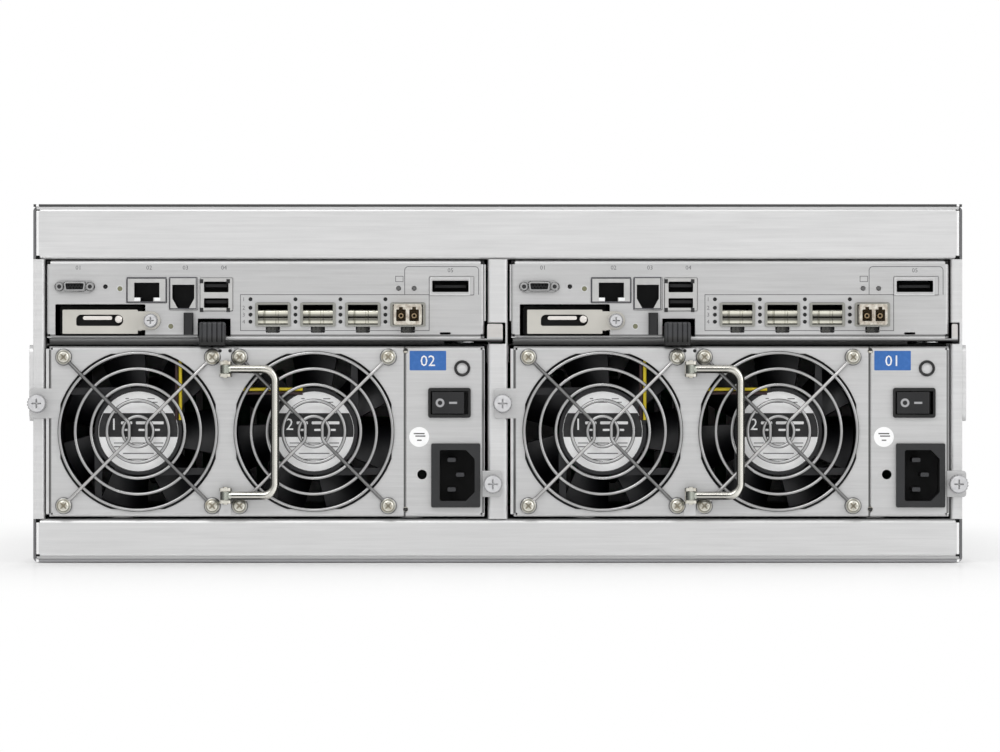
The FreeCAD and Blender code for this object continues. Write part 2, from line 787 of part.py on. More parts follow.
# ---- drives -----------------------------------------------------------------------
def drive_carrier(column, row):
    x, z = cell_middle(column, row)
    wide = cell_width / 2 - sheet / 2 - bezel_gap
    low = z + bezel_gap / 2
    high = z + row_pitch - bezel_gap / 2
    y0 = front - bezel_depth + bezel_proud
    y1 = front + bezel_proud
    bezel = prism(rectangle(x - wide, x + wide, low, high, 1.5), place_xz, y0, y1)
    hollow = prism(rectangle(x - wide + bezel_wall, x + wide - bezel_wall, low + bezel_wall,
                             high - bezel_wall, 1.0), place_xz, y0 - 1, y1 - bezel_face)
    bezel = bezel.cut(hollow)
    middle = (low + high) / 2
    pocket = prism(rectangle(x + latch_pivot - 3.5, x + latch_pivot + latch_length + 1,
                             middle - latch_height / 2 - 0.5, middle + latch_height / 2 + 0.5, 1.0),
                   place_xz, y1 - latch_thickness - 1.2, y1 + 1)
    bezel = bezel.cut(pocket)
    lug = rod_z(x + latch_pivot, y1 - latch_axis_depth, latch_pin, middle - latch_height / 2 - 1,
                middle + latch_height / 2 + 1)
    bottom = z + ledge_thickness / 2 + runner_gap
    rails = []
    for side in (-1, 1):
        inner = x + side * (drive_width / 2 + carrier_fit)
        outer = inner + side * carrier_rail
        x0, x1 = sorted((inner, outer))
        tail = front - carrier_length
        top = high - carrier_head
        rail = prism([(tail, bottom), (y0 + 1, bottom), (y0 + 1, top), (tail + 8, top, 3),
                      (tail, top - 5, 3)], place_yz, x0, x1)
        rails.append(rail)
    web = block(x - wide + bezel_wall, x + wide - bezel_wall, y0, y0 + bezel_web, bottom,
                high - carrier_head)
    return join([bezel, lug, web] + rails)


def drive_latch(column, row):
    x, z = cell_middle(column, row)
    middle = z + row_pitch / 2
    y1 = front + bezel_proud
    pivot_x = x + latch_pivot
    barrel = rod_z(pivot_x, y1 - latch_axis_depth, latch_barrel, middle - latch_height / 2,
                   middle + latch_height / 2)
    arm = prism([(pivot_x, y1 - latch_thickness), (pivot_x + latch_length, y1 - latch_thickness, 1.0),
                 (pivot_x + latch_length, y1 - 0.6, 0.8), (pivot_x + latch_length - 9, y1 - 0.1, 2),
                 (pivot_x, y1 - 0.1)], place_xy, middle - latch_height / 2, middle + latch_height / 2)
    body = barrel.fuse(arm)
    body = body.cut(rod_z(pivot_x, y1 - latch_axis_depth, latch_pin + hinge_clearance,
                          middle - latch_height, middle + latch_height))
    length, height, pitch = latch_vent
    for k in range(latch_vents):
        start = pivot_x + 10 + pitch * k
        vent = prism(rectangle(start, start + length, middle - height / 2, middle + height / 2, 2.0),
                     place_xz, y1 - 10, y1 + 5)
        body = body.cut(vent)
    return body


def disk_drive(column, row):
    x, z = cell_middle(column, row)
    low = z + ledge_thickness / 2 + drive_lift
    y1 = front - bezel_depth + bezel_proud - panel_gap
    y0 = y1 - drive_length
    wide = drive_width / 2
    side, back, rise = drive_lid
    body = plate_flat(x - wide, x + wide, y0, y1, low, low + drive_height, 2.0)
    lid = plate_flat(x - wide + side, x + wide - side, y0 + back, y1 - side,
                     low + drive_height - 1, low + drive_height + rise, side)
    return body.fuse(lid).removeSplitter()


def bays(moving):
    chosen = []
    for column in range(drive_columns):
        for row in range(drive_rows):
            if ((column, row) == (moving_column, moving_row)) == moving:
                chosen.append((column, row))
    return chosen


# ---- controller canister ----------------------------------------------------------
def cage_centres():
    return [cage_first + cage_pitch * k for k in range(cage_count)]


def grown(rect, by):
    return rectangle(rect[0] - by, rect[1] + by, rect[2] - by, rect[3] + by, 0.4)


def sheet_case(x0, x1, y0, y1, height):
    """Closed case of module sheet, bent round its rear face and notched at its corners."""
    s = module_sheet

    def rounded(shape, start, radius):
        edges = [e for e in shape.Edges if max(v.Y for v in e.Vertexes) < start + 0.01]
        return shape.makeFillet(radius, edges)

    shell = plate(x0, x1, 0, height, y0, y1, module_edge)
    core = block(x0 + s, x1 - s, y0 + s, y1 - s, s, height - s)
    case = rounded(shell, y0, module_bend + s).cut(rounded(core, y0 + s, module_bend))
    return relieved(case, x0, x1, 0, height, y0)


def canister():
    """Sheet case with every opening of its rear face, and the lever's riveted pivot."""
    wide = controller_width / 2
    s = module_sheet
    back = rear + module_depth
    shell = sheet_case(-wide, wide, rear, back, controller_height)
    cuts = []

    def through(corners):
        cuts.append(prism(corners, place_xz, rear - 1, rear + s + 0.5))

    through(grown(rj45, port_clearance))
    through(grown(rj12, port_clearance))
    through(grown(usb, port_clearance))
    through(grown(sas, port_clearance))
    through(rectangle(serial_port[0] - 5.6, serial_port[0] + 5.6, serial_port[1] - 2.6,
                      serial_port[1] + 2.6, 1.2))
    through(rectangle(battery_window[0], battery_window[1], s, battery_window[2], 0.6))
    tab, tab_low, tab_high = cage_tab_slot
    for u in cage_centres():
        through(rectangle(u - cage_outside[0] - port_clearance, u + cage_outside[0] + port_clearance,
                          cage_middle - cage_outside[1] - port_clearance,
                          cage_middle + cage_outside[1] + port_clearance, 0.3))
        through(rectangle(u - tab, u + tab, cage_middle + tab_low, cage_middle + tab_high, 0.4))
    through(slot_outline(pivot_offset - 10.75, s + 1.1, 5.3, 0.5))
    cuts.append(block(grip_notch[0], grip_notch[1], rear - 1, rear + 11, -1, grip_notch[2]))
    for u, v, radius in lamps + (reset_hole,):
        cuts.append(rod_y(u, v, radius, rear - 1, rear + 2))
    for k in range(cage_count):
        for v in dot_levels:
            cuts.append(rod_y(dot_first + cage_pitch * k, v, dot_radius, rear - 1, rear + 2))
    cuts.append(rod_y(*battery_screw, thumb_shank + ear_hole_gap, rear - 1, rear + 2))
    left, right, low, high = controller_back_window
    cuts.append(block(left, right, back - 2, back + 1, low, high))
    for k in range(4):
        slot = slot_outline(right + 15 + 7.5 * k, (low + high) / 2, 4, 1.99)
        cuts.append(prism(slot, place_xz, back - 2, back + 1))
    shell = shell.cut(Part.makeCompound(cuts))
    pin_low = lever_level - lever_pin_head
    pin = rod_z(pivot_offset, rear + pivot_back, thumb_shank, pin_low, s / 2)
    rivet = rod_z(pivot_offset, rear + pivot_back, 2 * thumb_shank, pin_low, lever_level - 0.2)
    return join([shell, pin, rivet])


def port_shell(frame, mouths, y0, y1, deep, radius=0.4):
    body = prism(rectangle(*frame, radius), place_xz, y0, y1)
    for mouth in mouths:
        body = body.cut(prism(mouth, place_xz, y0 - 1, y0 + deep))
    return body


def rj12_mouth_outline():
    u0, u1, v0, v1 = rj12_mouth
    run, rise = rj12_slope
    return [(u0, v0 + rise), (u0 + run, v0), (u1 - run, v0), (u1, v0 + rise), (u1, v1), (u0, v1)]


def rj45_mouth_outline():
    u0, u1, v0, v1 = rj45_mouth
    step, rise = rj45_step
    return [(u0, v0 + rise), (u0 + step, v0 + rise), (u0 + step, v0), (u1 - step, v0),
            (u1 - step, v0 + rise), (u1, v0 + rise), (u1, v1), (u0, v1)]


def port_shells():
    pieces = []
    lip = rear - port_lip
    jack_end = rear + jack_length
    pieces.append(port_shell(rj45, [rj45_mouth_outline()], lip, jack_end, jack_depth))
    pieces.append(port_shell(rj12, [rj12_mouth_outline()], lip, jack_end, jack_depth))
    slots = [rectangle(*usb_mouth, v0, v1, 0.5) for v0, v1 in usb_slots]
    pieces.append(port_shell(usb, slots, lip, rear + usb_length, usb_depth))
    pieces.append(port_shell(sas, [rectangle(*sas_mouth, 0.5)], lip, rear + sas_length, sas_depth))
    for k, u in enumerate(cage_centres()):
        pieces.append(optic_cage(u, k < cage_count - 1))
    pieces.append(serial_shell())
    return group(pieces)


def optic_cage(u, empty):
    """Cage for one optical module, its latch tab under it and a dust door while it is empty."""
    v = cage_middle
    out, high = cage_outside
    collar, collar_high = cage_collar
    wide, inside = cage_inside
    mouth = rear - cage_mouth
    tube = plate(u - out, u + out, v - high, v + high, mouth, rear + cage_length, 0.4)
    lip = plate(u - collar, u + collar, v - collar_high, v + collar_high, mouth, rear - 0.1, 0.8)
    tab, low, top = cage_tab
    latch = plate(u - tab, u + tab, v + low, v + top, rear - 0.5, rear + 3, 0.5)
    neck = block(u - tab / 2, u + tab / 2, rear + 1.5, rear + 3, v + top - 0.5, v - high + 0.2)
    cage = join([tube, lip, latch, neck])
    cage = cage.cut(block(u - wide, u + wide, mouth - 1, rear + cage_length - 1,
                          v - inside, v + inside))
    for side in (-1, 1):
        groove = u + side * tab / 3
        cage = cage.cut(block(groove - 0.3, groove + 0.3, rear - 1, rear, v + low - 1, v + top))
    if empty:
        cage = cage.fuse(dust_door(u))
    return cage


def dust_door(u):
    """Spring door of an empty cage: one sheet with two rolled swellings and a fold between."""
    low = cage_middle - cage_inside[1] - door_fit
    top = cage_middle + door_top
    fold = (low + top) / 2
    crest = rear + door_back
    back = crest + door_crown + door_thickness
    profile = [(back, low), (crest, low, door_crown), (crest, fold - 0.2, door_crown),
               (crest + door_crown, fold), (crest, fold + 0.2, door_crown),
               (crest, top, door_crown), (back, top)]
    wide = cage_inside[0] + door_fit
    door = prism(profile, place_yz, u - wide, u + wide)
    for share in (-0.62, 0.35):
        slit = u + share * wide
        door = door.cut(block(slit - 0.12, slit + 0.12, crest - 1, crest + door_crown / 2,
                              low, top + 1))
    return door


def serial_shell():
    """Small D connector between two threaded posts."""
    u, v = serial_port
    flange = prism(rectangle(u - 9.4, u + 9.4, v - 2.9, v + 2.9, 2.88), place_xz, rear - 1.2, rear - 0.1)
    ring = d_shape(u, v + 0.1, *serial_shell_half, 0.9, rear - 3.0, rear + 6)
    bore = d_shape(u, v + 0.1, *serial_bore_half, 0.6, rear - 4, rear + 5)
    posts = [rod_y(u + side * serial_screw, v, 1.7, rear - 2.6, rear - 0.5) for side in (-1, 1)]
    holes = [rod_y(u + side * serial_screw, v, 1.0, rear - 3.5, rear - 0.9) for side in (-1, 1)]
    return join([flange, ring] + posts).cut(bore).cut(Part.makeCompound(holes))


def serial_block():
    """Moulded insert of the serial connector with two rows of contact holes."""
    u, v = serial_port
    bottom, top, tall = serial_bore_half
    gap = panel_gap / 2
    body = d_shape(u, v + 0.1, bottom - gap, top - gap, tall - gap, 0.5, rear - 1.6, rear + 5)
    pitch, radius, rise = serial_hole
    holes = []
    for row, count in ((1, 5), (-1, 4)):
        for k in range(count):
            hole = rod_y(u + (k - (count - 1) / 2) * pitch, v + 0.1 + row * rise, radius,
                         rear - 2, rear + 1)
            holes.append(hole)
    return body.cut(Part.makeCompound(holes))


def port_inserts():
    """Moulded tongues, light pipes, the reset button and the squeeze post."""
    pieces = [serial_block()]
    for v0, v1 in usb_slots:
        middle = (v0 + v1) / 2
        pieces.append(block(usb_mouth[0] + 0.5, usb_mouth[1] - 0.5, rear + 1.5,
                            rear - port_lip + usb_depth, middle - 0.1, middle + 1.5))
    u0, u1, v0, v1 = sas_mouth
    pieces.append(block(u0 + 1.2, u1 - 1.2, rear + 3, rear - port_lip + sas_depth,
                        (v0 + v1) / 2 - 0.7, (v0 + v1) / 2 + 0.7))
    for u, v, radius in lamps:
        pieces.append(turned([(0, rear - 0.4), (radius * 0.6, rear - 0.3), (radius - 0.1, rear + 0.1),
                              (radius - 0.1, rear + 4), (0, rear + 4)], u, v))
    pieces.append(rod_y(reset_hole[0], reset_hole[1], reset_hole[2] - 0.2, rear + 0.8, rear + 4))
    for k in range(cage_count):
        for v in dot_levels:
            pieces.append(rod_y(dot_first + cage_pitch * k, v, dot_radius - 0.1, rear + 0.3, rear + 2.5))
    u0, u1, v0, v1 = squeeze_post
    post = prism([(u0, rear - 0.1), (u0, rear - 5.2, 1.2), (u1, rear - 5.2, 1.2), (u1, rear - 0.1)],
                 place_xy, v0, v1)
    pieces.append(post)
    return group(pieces)


def lever(tip):
    """Ejector lever: flat blade under the canister, hook at one end, grip at the other."""
    y0 = rear - 1.0
    end = grip[0] + 4.3
    blade = prism([(end, rear - 3.2), (grip[1] + 0.6, rear - 3.2), (grip[1] + 1.4, y0),
                   (tip, y0), (tip, rear + 0.5), (pivot_offset + 7, rear + 3, 2),
                   (pivot_offset + 4, rear + pivot_back + 5, 4),
                   (pivot_offset - 6, rear + pivot_back + 5, 4), (grip[1] + 40, rear + 6, 10),
                   (end, rear + 6, 2)], place_xy, lever_level, lever_level + lever_thickness)
    hook = plate(hook_start, tip, hook_level - hook_half, hook_level + hook_half, y0, rear + 0.5, 0.8)
    bore = rod_z(pivot_offset, rear + pivot_back, thumb_shank + hinge_clearance, lever_level - 1,
                 lever_level + lever_thickness + 1)
    return join([blade, hook]).cut(bore)


def release_tab():
    """Ribbed thumb tab that slides along the lever's end towards the squeeze post."""
    u0, u1, v0, v1 = grip
    body = prism([(u0, rear - 0.4), (u0, rear - 7.2, 1.5), (u1, rear - 8.2, 1.5), (u1, rear - 0.4)],
                 place_xy, v0, v1)
    pocket = block(u0 + 1.6, u1 + 1, rear - 3.5, rear + 1, lever_level - 0.2,
                   lever_level + lever_thickness + 0.2)
    crown = [e for e in body.Edges if min(p.Z for p in e.Vertexes) > v1 - 0.01
             and max(p.Y for p in e.Vertexes) < rear - 5]
    body = body.makeFillet(1.2, crown)
    body = body.cut(pocket)
    width, depth = grip_rib
    pitch = (u1 - u0 - 3.2) / (grip_ribs - 1)
    ribs = []
    for k in range(grip_ribs):
        u = u0 + 1.6 + pitch * k
        ribs.append(block(u - width / 2, u + width / 2, rear - 12, rear - 7.2 + depth, v0 + 1.5, v1 + 1))
    return body.cut(Part.makeCompound(ribs))


def d_shape(u, v, bottom, top, tall, radius, y0, y1):
    """Outline of a D connector: wider at its top, all corners round."""
    return prism([(u - bottom, v - tall, radius), (u + bottom, v - tall, radius),
                  (u + top, v + tall, radius), (u - top, v + tall, radius)], place_xz, y0, y1)


def battery_module():
    """Battery pack behind a front plate whose end is round about the thumb screw."""
    gap = battery_fit
    u0 = battery_window[0] + gap + 1
    u1 = battery_window[1] - gap - 1
    start = rear + battery_recess
    pack = plate(u0, u1, module_sheet + gap, battery_window[2] - gap, start,
                 start + battery_length, 1.5)
    sill = plate(u0 + 4, u1, *battery_sill, rear - 0.5, start + 1, 0.5)
    u, v = battery_screw
    back = rear - 0.3
    main = plate(*battery_plate, rear - 1.5, back, 0.5)
    round_end = battery_tongue * 0.98
    tongue = prism([(battery_plate[1] - 8, v - battery_tongue), (u + battery_tongue, v - battery_tongue,
                    round_end), (u + battery_tongue, v + battery_tongue, round_end),
                    (battery_plate[1] - 8, v + battery_tongue)], place_xz, rear - 1.5, back)
    collar = rod_y(u, v, battery_collar, rear - 2.3, rear - 1.0)
    body = join([pack, sill, main, tongue, collar])
    across, up, reach, tall = battery_pull
    pull = prism([(across - reach, up - tall, 1.0), (across + reach, up - tall, tall * 0.98),
                  (across + reach, up + tall, tall * 0.98), (across - reach, up + tall, tall * 0.9)],
                 place_xz, rear - 3, rear + 3)
    body = body.cut(pull).cut(rod_y(u, v, thumb_shank + ear_hole_gap, rear - 5, rear + 4))
    bar = plate(*battery_bar, rear - 1.9, rear + 3.5, 0.8)
    rivet = turned([(0, rear - 2.2), (1.1, rear - 2.2), (battery_rivet[2], rear - 1.7),
                    (battery_rivet[2], rear + 3.5), (0, rear + 3.5)], *battery_rivet[:2])
    return join([body, bar, rivet])


def knurled_screw(x, z, radius, seat, tip, shank_end):
    """Captive screw: waisted round head with a cross recess, shank and free collar."""
    step = (seat - tip) / 6
    head = turned([(0, tip), (radius - 0.7, tip), (radius, tip + 0.7), (radius, tip + 3 * step),
                   (radius * 0.68, tip + 3.4 * step), (radius * 0.68, tip + 5 * step),
                   (radius * 0.85, tip + 5.2 * step), (radius * 0.85, seat - 0.3),
                   (thumb_shank, seat - 0.3), (thumb_shank, shank_end - 0.8),
                   (thumb_shank - 0.6, shank_end), (0, shank_end)], x, z)
    grooves = []
    count = 18
    for k in range(count):
        angle = 2 * math.pi * k / count
        grooves.append(rod_y(x + (radius + 0.25) * math.cos(angle), z + (radius + 0.25) * math.sin(angle),
                             0.6, tip - 1, tip + 3 * step))
    head = head.cut(Part.makeCompound(grooves))
    return head.cut(cross_recess(x, z, tip, radius * 0.5, 1.6))


def battery_thumb_screw():
    u, v = battery_screw
    return knurled_screw(u, v, battery_screw_radius, rear - 2.3, rear - battery_screw_reach, rear + 3.5)


def transceiver():
    """Pluggable optical module with a duplex receptacle and a wire bail."""
    u = cage_centres()[-1]
    v = cage_middle
    tip = rear - transceiver_reach
    body = plate(u - 6.8, u + 6.8, v - 4.2, v + 4.2, rear - 8, rear + 44, 0.5)
    nose = plate(u - 6.6, u + 6.6, v - 4.9, v + 5.0, tip, rear - 1.6, 0.6)
    solid = join([body, nose])
    for side in (-1, 1):
        middle = u + side * 3.15
        solid = solid.cut(plate(middle - 2.3, middle + 2.3, v - 3.2, v + 2.4, tip - 1, tip + 8, 0.3))
        solid = solid.cut(block(middle - 0.9, middle + 0.9, tip - 1, tip + 6, v + 2.3, v + 3.6))
        solid = solid.fuse(turned([(0.7, tip + 1.5), (1.25, tip + 1.5), (1.25, tip + 9), (0.7, tip + 9)],
                                  middle, v - 0.6))
    return solid


# ---- power supply -----------------------------------------------------------------
def supply_sides():
    return supply_shift - supply_width / 2, supply_shift + supply_width / 2


def inlet_mouth_outline():
    left, right, bottom, top = inlet_mouth
    u0 = inlet[0] + left
    u1 = inlet[1] - right
    v0 = inlet[2] + bottom
    v1 = inlet[3] - top
    chamfer = inlet_chamfer
    return [(u0, v0, 1.0), (u1 - chamfer, v0, 1.0), (u1, v0 + chamfer, 1.0), (u1, v1 - chamfer, 1.0),
            (u1 - chamfer, v1, 1.0), (u0, v1, 1.0)]


def supply_case():
    """Sheet case with its openings, two screw ears and two runners."""
    x0, x1 = supply_sides()
    s = module_sheet
    back = rear + module_depth
    shell = sheet_case(x0, x1, face, back, supply_height)
    ear_far = thumb_offset + ear_past_screw
    ears = [plate(-ear_far, x0 + 3, thumb_upper - ear_half_upper, thumb_upper + ear_half_upper,
                  face, rear - tab_gap, 1.5),
            plate(x1 - 3, ear_far, thumb_lower - ear_half_lower, thumb_lower + ear_half_lower,
                  face, rear - tab_gap, 1.5)]
    runners = []
    width, offset = supply_runner
    for side in (-1, 1):
        runners.append(plate_flat(side * offset - width / 2, side * offset + width / 2, rear + 10,
                                  back - 6, runner_gap - supply_lift, runner_sink, width * 0.42))
    shell = join([shell] + ears + runners)
    cuts = []
    for u in fan_centres:
        cut_half = fan_size / 2 - fan_cut_flat
        disc = rod_y(u, fan_height, fan_size / 2 - fan_cut_edge, face - 1, face + s + 0.5)
        frame = block(u - cut_half, u + cut_half, face - 1, face + s + 0.5,
                      fan_height - cut_half, fan_height + cut_half)
        cuts.append(disc.common(frame))
        for du in (-fan_screw, fan_screw):
            for dv in (-fan_screw, fan_screw):
                cuts.append(rod_y(u + du, fan_height + dv, 2.0, face - 1, face + s + 0.5))
    groove, depth = seam_groove
    cuts.append(block(seam - groove, seam + groove, face - 1, face + depth, 1.5, supply_height - 1.5))
    for u in (handle_pivot - 5.0, handle_pivot + 1.5, handle_pivot + 5.0):
        cuts.append(prism(slot_outline(u, supply_height - 1.3, 2.2, 0.6), place_xz, face - 1, face + 0.5))
    cuts.append(prism(rectangle(rocker_frame[0] + 1, rocker_frame[1] - 1, rocker_frame[2] + 1,
                                rocker_frame[3] - 1, 0.5), place_xz, face - 1, face + s + 0.5))
    cuts.append(prism(rectangle(inlet[0] + 1.5, inlet[1] - 1.5, inlet[2] + 1.5, inlet[3] - 1.5, 1.5),
                      place_xz, face - 1, face + s + 0.5))
    cuts.append(rod_y(lamp_u, lamp_v, lamp_radius - 0.8, face - 1, face + s + 0.5))
    cuts.append(rod_y(*spare_hole, face - 1, face + s + 0.5))
    for u, v in ((-thumb_offset, thumb_upper), (thumb_offset, thumb_lower)):
        cuts.append(rod_y(u, v, thumb_shank + ear_hole_gap, face - 1, rear + 1))
    left, right, low, high = supply_back_window
    cuts.append(block(left, right, back - 2, back + 1, low, high))
    length, half_width, pitch = vent_slot
    for k in range(vent_slots):
        slot = slot_outline(supply_height / 2, left - 12 - pitch * (vent_slots - 1 - k), length, half_width)
        turned_slot = [(v, u, r) for u, v, r in slot]
        cuts.append(prism(turned_slot, place_xz, back - 2, back + 1))
    return shell.cut(Part.makeCompound(cuts))


def fan_turn(index):
    """The second fan is fitted a quarter turn round from the first."""
    return -90 * index


def seat_fan(shape, index):
    shape.rotate(Vector(0, 0, 0), Vector(0, 1, 0), fan_turn(index))
    shape.translate(Vector(fan_centres[index], 0, fan_height))
    return shape


def fan_frame(index):
    y0 = fan_face
    y1 = y0 + fan_depth
    side = fan_size / 2
    body = prism(rectangle(-side, side, -side, side, 3.0), place_xz, y0, y1)
    waist = prism(rectangle(-side - 1, side + 1, -side - 1, side + 1), place_xz, y0 + fan_flange,
                  y1 - fan_flange)
    waist = waist.cut(rod_y(0, 0, fan_bore + fan_wall, y0, y1))
    body = body.cut(waist)
    body = body.cut(rod_y(0, 0, fan_bore, y0 - 1, y1 + 1))
    flare = Part.makeCone(fan_bore + fan_flare, fan_bore, 5, Vector(0, y0, 0), Vector(0, 1, 0))
    body = body.cut(flare)
    for du in (-fan_screw, fan_screw):
        for dv in (-fan_screw, fan_screw):
            body = body.cut(rod_y(du, dv, 2.1, y0 - 1, y1 + 1))
    base = turned([(0, y0 + 1.2), (hub_radius - 1.7, y0 + 1.2), (hub_radius - 1.4, y0 + 0.4),
                   (hub_radius, y0 + 0.4), (hub_radius, y0 + 4.2), (0, y0 + 4.2)], 0, 0)
    pieces = [body, base]
    for k in range(4):
        end = fan_bore - 4
        strut = prism([(strut_offset - strut_half, 4), (strut_offset + strut_half, 4),
                       (strut_offset + strut_half * 0.8, end), (strut_offset - strut_half * 0.8, end)],
                      place_xz, y0 + 4.2 - strut_height, y0 + 4.2)
        strut.rotate(Vector(0, 0, 0), Vector(0, 1, 0), 90 * k)
        pieces.append(strut)
    body = join(pieces)
    wide = strut_half + 0.2
    channel = block(strut_offset - wide, strut_offset + wide, y0 - 1, y0 + 2.0, 3.0, fan_bore - 2)
    notch = block(strut_offset - wide, strut_offset + wide, y0 - 1, y0 + 5, fan_bore - 3.5, side - 0.8)
    return seat_fan(body.cut(channel).cut(notch), index)


def fan_rotor(index):
    y0 = fan_face + rotor_back
    y1 = y0 + rotor_depth
    hub = turned([(0, y0), (hub_radius - 0.6, y0), (hub_radius - 0.6, y1 - 2), (hub_radius - 2.6, y1),
                  (0, y1)], 0, 0)
    tip = fan_bore - blade_tip_gap
    blades = []
    for k in range(blade_count):
        sections = []
        for radius, chord, pitch in ((hub_radius - 2.5, 24.0, 50.0), (tip + 1.5, 27.0, 32.0)):
            slope = math.radians(pitch)
            along = Vector(0, math.sin(slope), math.cos(slope))
            across = Vector(0, -along.z, along.y)
            middle = Vector(radius, (y0 + y1) / 2, 0)
            nose = middle - along * (chord / 2)
            tail = middle + along * (chord / 2)
            crown = middle + across * 3.2
            belly = middle + across * 1.9
            edge = across * 0.35
            sections.append(Part.Wire([
                Part.Arc(nose + edge, crown, tail + edge).toShape(),
                Part.LineSegment(tail + edge, tail - edge).toShape(),
                Part.Arc(tail - edge, belly, nose - edge).toShape(),
                Part.LineSegment(nose - edge, nose + edge).toShape()]))
        blade = Part.makeLoft(sections, True, True)
        blade.rotate(Vector(0, 0, 0), Vector(0, 1, 0), 360.0 * k / blade_count)
        blades.append(blade)
    limit = rod_y(0, 0, tip, y0 + 0.2, y1 + 3)
    fan = [hub] + [b.common(limit) for b in blades]
    return seat_fan(join(fan), index)


def wire_guard(index):
    ring_y = face - guard_wire - guard_gap
    spoke_y = ring_y - guard_wire * 1.65
    pieces = []
    for radius in guard_rings:
        pieces.append(Part.makeTorus(radius, guard_wire, Vector(0, ring_y, 0), Vector(0, 1, 0)))
    corner = fan_screw * math.sqrt(2)
    loop = guard_loop
    for k in range(4):
        angle = math.radians(45 + 90 * k)
        out = Vector(math.cos(angle), 0, math.sin(angle))
        start = out * guard_rings[0] + Vector(0, spoke_y, 0)
        knee = out * (guard_rings[-1] + 1.2) + Vector(0, spoke_y, 0)
        foot = out * (corner - screw_head - 2 * guard_wire) + Vector(0, ring_y, 0)
        end = out * (corner - loop) + Vector(0, ring_y, 0)
        pieces.append(Part.makeCylinder(guard_wire, (knee - start).Length, start, knee - start))
        pieces.append(Part.makeSphere(guard_wire, knee))
        pieces.append(Part.makeCylinder(guard_wire, (foot - knee).Length, knee, foot - knee))
        pieces.append(Part.makeSphere(guard_wire, foot))
        pieces.append(Part.makeCylinder(guard_wire, (end - foot).Length, foot, end - foot))
        pieces.append(Part.makeTorus(loop, guard_wire, out * corner + Vector(0, ring_y, 0),
                                     Vector(0, 1, 0)))
    guard = pieces[0].multiFuse(pieces[1:])
    guard.translate(Vector(fan_centres[index], 0, fan_height))
    return guard


def handle_axis_y():
    return face - handle_stand


def bail_handle():
    y = handle_axis_y()
    grip_x = handle_pivot + handle_reach
    path = [Vector(handle_pivot + 1.5, y, handle_high), Vector(grip_x, y, handle_high),
            Vector(grip_x, y, handle_low), Vector(handle_pivot + 1.5, y, handle_low)]
    rod = pipe(path, handle_rod, handle_bend)
    knuckles = [rod_z(handle_pivot, y, handle_rod + knuckle_wall, z - knuckle_half, z + knuckle_half)
                for z in (handle_low, handle_high)]
    body = rod.multiFuse(knuckles)
    return body.cut(rod_z(handle_pivot, y, hinge_pin + hinge_clearance, 0, supply_height))


def handle_bracket(z):
    """Clevis on the supply's face with a riveted pin along Z."""
    y = handle_axis_y()
    wide = bracket_half
    inner = knuckle_half + bracket_gap
    outer = inner + bracket_ear
    ears = []
    for side in (-1, 1):
        z0, z1 = sorted((z + side * inner, z + side * outer))
        ears.append(prism([(handle_pivot - wide, face - 0.9), (handle_pivot - wide, y - 1.6, 1.5),
                           (handle_pivot + wide, y - 1.6, 1.5), (handle_pivot + wide, face - 0.9)],
                          place_xy, z0, z1))
    foot = plate(handle_pivot - wide, handle_pivot + wide, z - outer, z + outer,
                 face - bracket_foot, face, 0.4)
    pin = rod_z(handle_pivot, y, hinge_pin, z - outer - 0.5, z + outer + 0.5)
    return join(ears + [foot, pin])


def ac_fittings():
    """Mains inlet, switch housing and lamp bezel."""
    y0 = face - inlet_flange
    u0, u1, v0, v1 = inlet
    body = prism(rectangle(u0, u1, v0, v1, 0.8), place_xz, y0, face)
    body = body.fuse(prism(rectangle(u0 + 1.7, u1 - 1.7, v0 + 1.7, v1 - 1.7, 1.3), place_xz,
                           face, face + inlet_body))
    socket = body.cut(prism(inlet_mouth_outline(), place_xz, y0 - 1, y0 + inlet_depth)).removeSplitter()
    u0, u1, v0, v1 = rocker_frame
    rim = prism(rectangle(u0, u1, v0, v1, 1.2), place_xz, face - 1.8, face)
    rim = rim.fuse(prism(rectangle(u0 + 1.15, u1 - 1.15, v0 + 1.15, v1 - 1.15, 0.4), place_xz,
                         face, face + 16))
    middle = (u0 + u1) / 2
    opening = rocker_half + rocker_room
    housing = rim.cut(prism(rectangle(middle - opening, middle + opening, v0 + 1.6, v1 - 1.6, 0.3),
                            place_xz, face - 4, face + 14)).removeSplitter()
    housing = housing.cut(rod_z(middle, face + rocker_axis, rocker_pin + rocker_pin_gap, v0, v1))
    radius = lamp_radius
    bezel = turned([(radius - 1.3, face - 1.0), (radius - 0.3, face - 1.3), (radius, face - 0.8),
                    (radius, face), (radius - 0.9, face), (radius - 0.9, face + 5),
                    (radius - 1.3, face + 5)], lamp_u, lamp_v)
    return group([socket, housing, bezel])


def rocker():
    """Two-sided rocker, drawn level and then tipped to the side that is pressed."""
    u0, u1, v0, v1 = rocker_frame
    middle = (u0 + u1) / 2
    tilt = math.radians(rocker_tilt)
    crown = face - rocker_proud
    rise = rocker_half * math.sin(tilt)
    run = rocker_half * math.cos(tilt)
    axis_y = face + rocker_axis
    body = prism([(middle - run, crown - rise, 0.4), (middle, crown, 8.0), (middle + run, crown - rise, 0.4),
                  (middle + run - 1.6, axis_y + 2.5, 1.0), (middle - run + 1.6, axis_y + 2.5, 1.0)],
                 place_xy, v0 + 2.0, v1 - 2.0)
    body.rotate(Vector(middle, axis_y, 0), Vector(0, 0, 1), -rocker_tilt)
    return join([body, rod_z(middle, axis_y, rocker_pin, v0 + 1.3, v1 - 1.3)])


